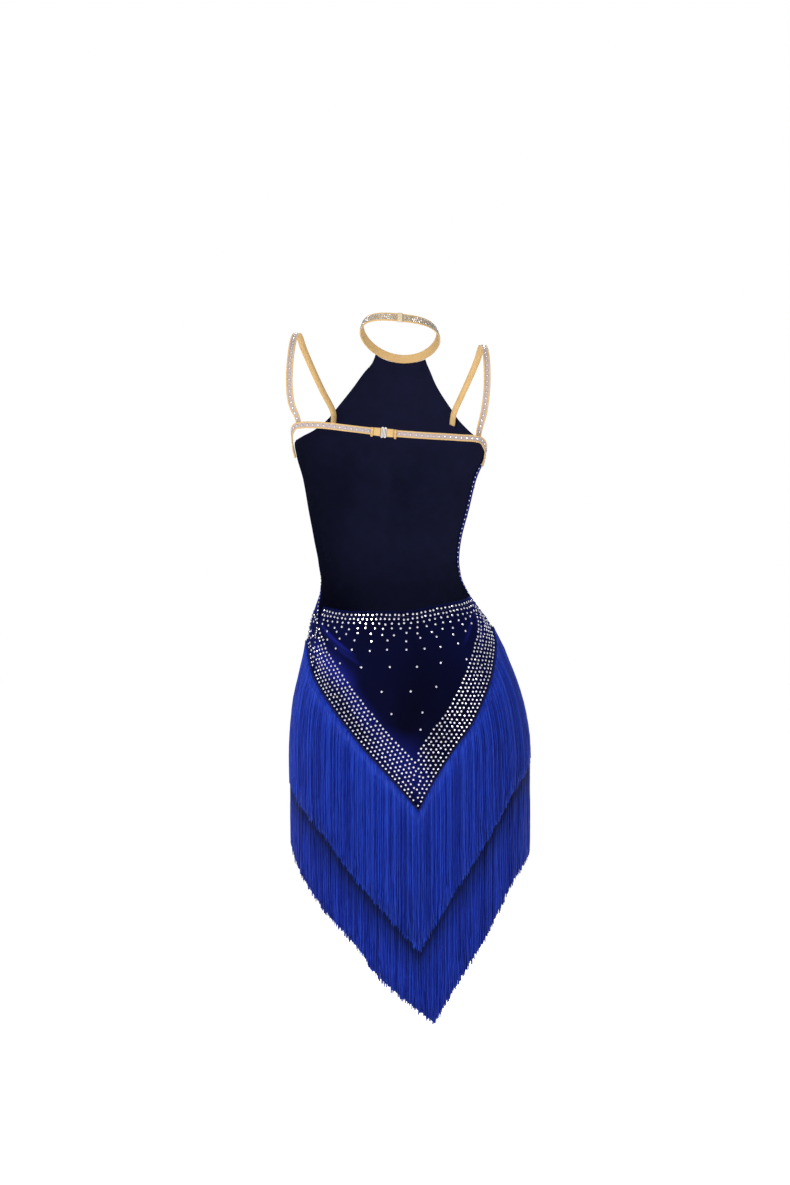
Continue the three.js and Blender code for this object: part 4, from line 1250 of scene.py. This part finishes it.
def keep_apart(turn, drop, least):
    """The places that aren't too near one kept before them."""
    place = skin(turn, drop)
    keep = [0]
    for k in range(1, len(turn)):
        if np.linalg.norm(place[keep] - place[k], axis=1).min() > least:
            keep.append(k)
    return turn[keep], drop[keep]


def on_back(turn):
    return (wrapped(turn) > BACK[0]) & (wrapped(turn) < BACK[1])


def clear_of_edges(turn, drop):
    """True for a place that lies on the cloth and isn't too near its free edge or a side seam."""
    last = SIDE_EDGE["drop"][-1]
    yoke = on_back(turn) & (drop > look_up(BACK_NECK, "turn", "drop", wrapped(turn)) + CLEAR["edge"])
    right, left = side_turns(drop - (yoke_hem(turn) - last) * smooth(drop, HEM_REACH, last))
    margin = CLEAR["edge"] / TURN_MM
    front = ~on_back(turn) & (turn % 360 > right + margin) & (turn % 360 < left - margin)
    clear = yoke | front
    for seam in (RIGHT_SEAM, LEFT_SEAM):
        clear &= np.abs(wrapped(turn - seam)) * TURN_MM > CLEAR["seam"]
    return clear


def to_band(turn, drop):
    """How far each place is from the edge above the fringe."""
    edge_turn = np.linspace(0, 360, POINTS["round"])
    edge = skin(edge_turn, tier_line(UPPER, "top", edge_turn))
    return np.linalg.norm(skin(turn, drop)[:, None] - edge, axis=2).min(1)


def joined(rows):
    return (np.concatenate(part) for part in zip(*rows))


def build_rhinestones():
    turn, drop = joined(band_rows())
    sparse = SPARSE["turns"]
    beside = np.minimum(np.abs(turn - RIGHT_SEAM - sparse), np.abs(turn - LEFT_SEAM + sparse))
    thinned = (beside < sparse) & (chance.uniform(0, 1, len(turn)) < SPARSE["missing"])
    clear = clear_of_edges(turn, drop) & ~thinned
    band = turn[clear], drop[clear]
    width = BAND["first"] + (BAND["rows"] - 1) * BAND["pitch"]
    turn, drop = joined([*thinning_rows(BACK_ROWS, back_line), *thinning_rows(FRONT_ROWS, front_line)])
    off_band = (to_band(turn, drop) > width + CLEAR["band"]) | (drop < NECK_ROWS_END)
    clear = clear_of_edges(turn, drop) & off_band
    turn, drop = joined([band, (turn[clear], drop[clear])])
    turn, drop = keep_apart(turn, drop, APART["band"])
    behind = on_back(turn)
    lines = [side_line(side, SIDE_ROW["levels"], SIDE_ROW["inside"]) for side in ("right", "left")]
    edge = keep_apart(*joined([spaced(*line, SIDE_ROW["pitch"]) for line in lines]), APART["edge"])
    for name, diameter, (turns, drops) in (
        ("back_stones", STONE["band"], (turn[behind], drop[behind])),
        ("front_stones", STONE["band"], (turn[~behind], drop[~behind])),
        ("edge_stones", STONE["edge"], edge),
    ):
        build_stones(name, CRYSTAL, diameter, [on_dress(turns, drops, STONE_OFF)])


# ---------------------------------------------------------------- sewing


def add_threads(body, start, end, normal):
    """Stitches from start to end that rise out of the cloth and dip back into it."""
    share = np.linspace(0, 1, STITCH_JOINTS)[:, None]
    radius = STITCH["thick"] / 2
    across = unit(np.cross(normal, end - start))[:, None]
    rise = radius - STITCH["sunk"] * (2 * share - 1) ** 2
    centres = start[:, None] + (end - start)[:, None] * share + normal[:, None] * rise
    angle = np.arange(4)[:, None] * np.pi / 2
    around = across[:, :, None] * np.cos(angle) + normal[:, None, None] * np.sin(angle)
    add_tubes(body, centres[:, :, None] + around * radius)


def add_seam(body, turn, drop):
    """A row of stitches along a line on the dress."""
    first = spaced(turn, drop, STITCH["pitch"], STITCH["start"])
    last = spaced(turn, drop, STITCH["pitch"], STITCH["start"] + STITCH["long"] / STITCH["pitch"])
    count = min(len(first[0]), len(last[0]))
    start, _, normal = on_dress(first[0][:count], first[1][:count])
    end, _, _ = on_dress(last[0][:count], last[1][:count])
    add_threads(body, start, end, normal)


def add_tack(body, places, at, height):
    """Two rows of three stitches across a strap."""
    for along in (at, at + TACK["apart"]):
        place, normal, across = at_stations(places, [along] * 3)
        aside = across * (np.array([-1, 0, 1])[:, None] * TACK["reach"] * STRAP_WIDTH)
        middle = place + aside + normal * height
        half = unit(across) * STITCH["long"] / 2
        add_threads(body, middle - half, middle + half, normal)


def build_sewing():
    """The hems of the free edges, the seam that holds the fringe, and the tacks of the straps."""
    body = Body()
    add_seam(body, *back_line(STITCH["hem"]))
    for side in ("right", "left"):
        add_seam(body, *side_line(side, SIDE_HEM_LEVELS, STITCH["hem"]))
    for ends in (BACK, FRONT):
        turn = turns_within(ends, BACK_ROWS["margin"], POINTS["hips"])
        add_seam(body, turn, tier_line(UPPER, "top", turn) - STITCH["tape"])
    body.build("hem_threads", [NAVY_THREAD], "velvet")

    body = Body()
    for side in ("left", "right"):
        places = back_strap_stations(side)
        add_tack(body, places, TACK["from_fold"], FOLD["high"])
        add_tack(body, places, places["along"][-1] - TACK["from_end"], STRAP_SECTION[NET_FACE, 1])
    body.build("strap_threads", [NUDE_THREAD], "nude_elastic")


# ---------------------------------------------------------------- the room, in metres

FLOOR = {"reach": 30, "height": -1.3}
ROOM = {"light": 0.5, "seen": 1.0}  # the white room lights the dress less than it shows
LIGHTS = (  # name, place, aim, size and power
    ("key_light", (-2.2, -3.2, 1.8), (0, 0, -0.4), 1.4, 150),
    ("fill_light", (2.8, -2.6, 0.2), (0, 0, -0.5), 2.2, 25),
    ("far_light", (0.6, 3.2, 1.8), (0, 0, -0.4), 1.8, 90),
)


def build_floor():
    """A plain pale floor."""
    look = Look("pale_floor", Roughness=0.9, Emission_Color=(1, 1, 1, 1), Emission_Strength=0.53)
    speck = look.noise(3, detail=3)
    look.drive(Base_Color=look.ramp(speck, (0.3, (0.93, 0.93, 0.94)), (0.7, (0.96, 0.96, 0.97))))
    mesh = bpy.data.meshes.new("floor")
    square = np.array([(-1, -1), (1, -1), (1, 1), (-1, 1)]) * FLOOR["reach"]
    corners = [(x, y, FLOOR["height"]) for x, y in square]
    mesh.from_pydata(corners, [], [(0, 1, 2, 3)])
    mesh.materials.append(look.material)
    floor = bpy.data.objects.new("floor", mesh)
    bpy.context.scene.collection.objects.link(floor)


def build_lights():
    """Soft lights in a white room."""
    world = bpy.data.worlds.new("white_room")
    world.use_nodes = True
    bpy.context.scene.world = world
    nodes, links = world.node_tree.nodes, world.node_tree.links
    background = nodes["Background"]
    background.inputs["Color"].default_value = (1, 1, 1, 1)
    seen = nodes.new("ShaderNodeLightPath").outputs["Is Camera Ray"]
    strength = nodes.new("ShaderNodeMapRange")
    strength.inputs["To Min"].default_value = ROOM["light"]
    strength.inputs["To Max"].default_value = ROOM["seen"]
    links.new(seen, strength.inputs["Value"])
    links.new(strength.outputs[0], background.inputs["Strength"])
    for name, place, aim, size, power in LIGHTS:
        light = bpy.data.objects.new(name, bpy.data.lights.new(name, "AREA"))
        light.data.energy = power
        light.data.size = size
        light.location = place
        way = np.array(aim) - np.array(place)
        tilt = math.acos(-way[2] / np.linalg.norm(way))
        light.rotation_euler = (tilt, 0, math.atan2(way[1], way[0]) - math.pi / 2)
        bpy.context.scene.collection.objects.link(light)
    bpy.context.scene.view_settings.view_transform = "Standard"


build_cloth()
build_fringes()
build_neckband()
build_straps()
build_rhinestones()
build_sewing()
build_floor()
build_lights()
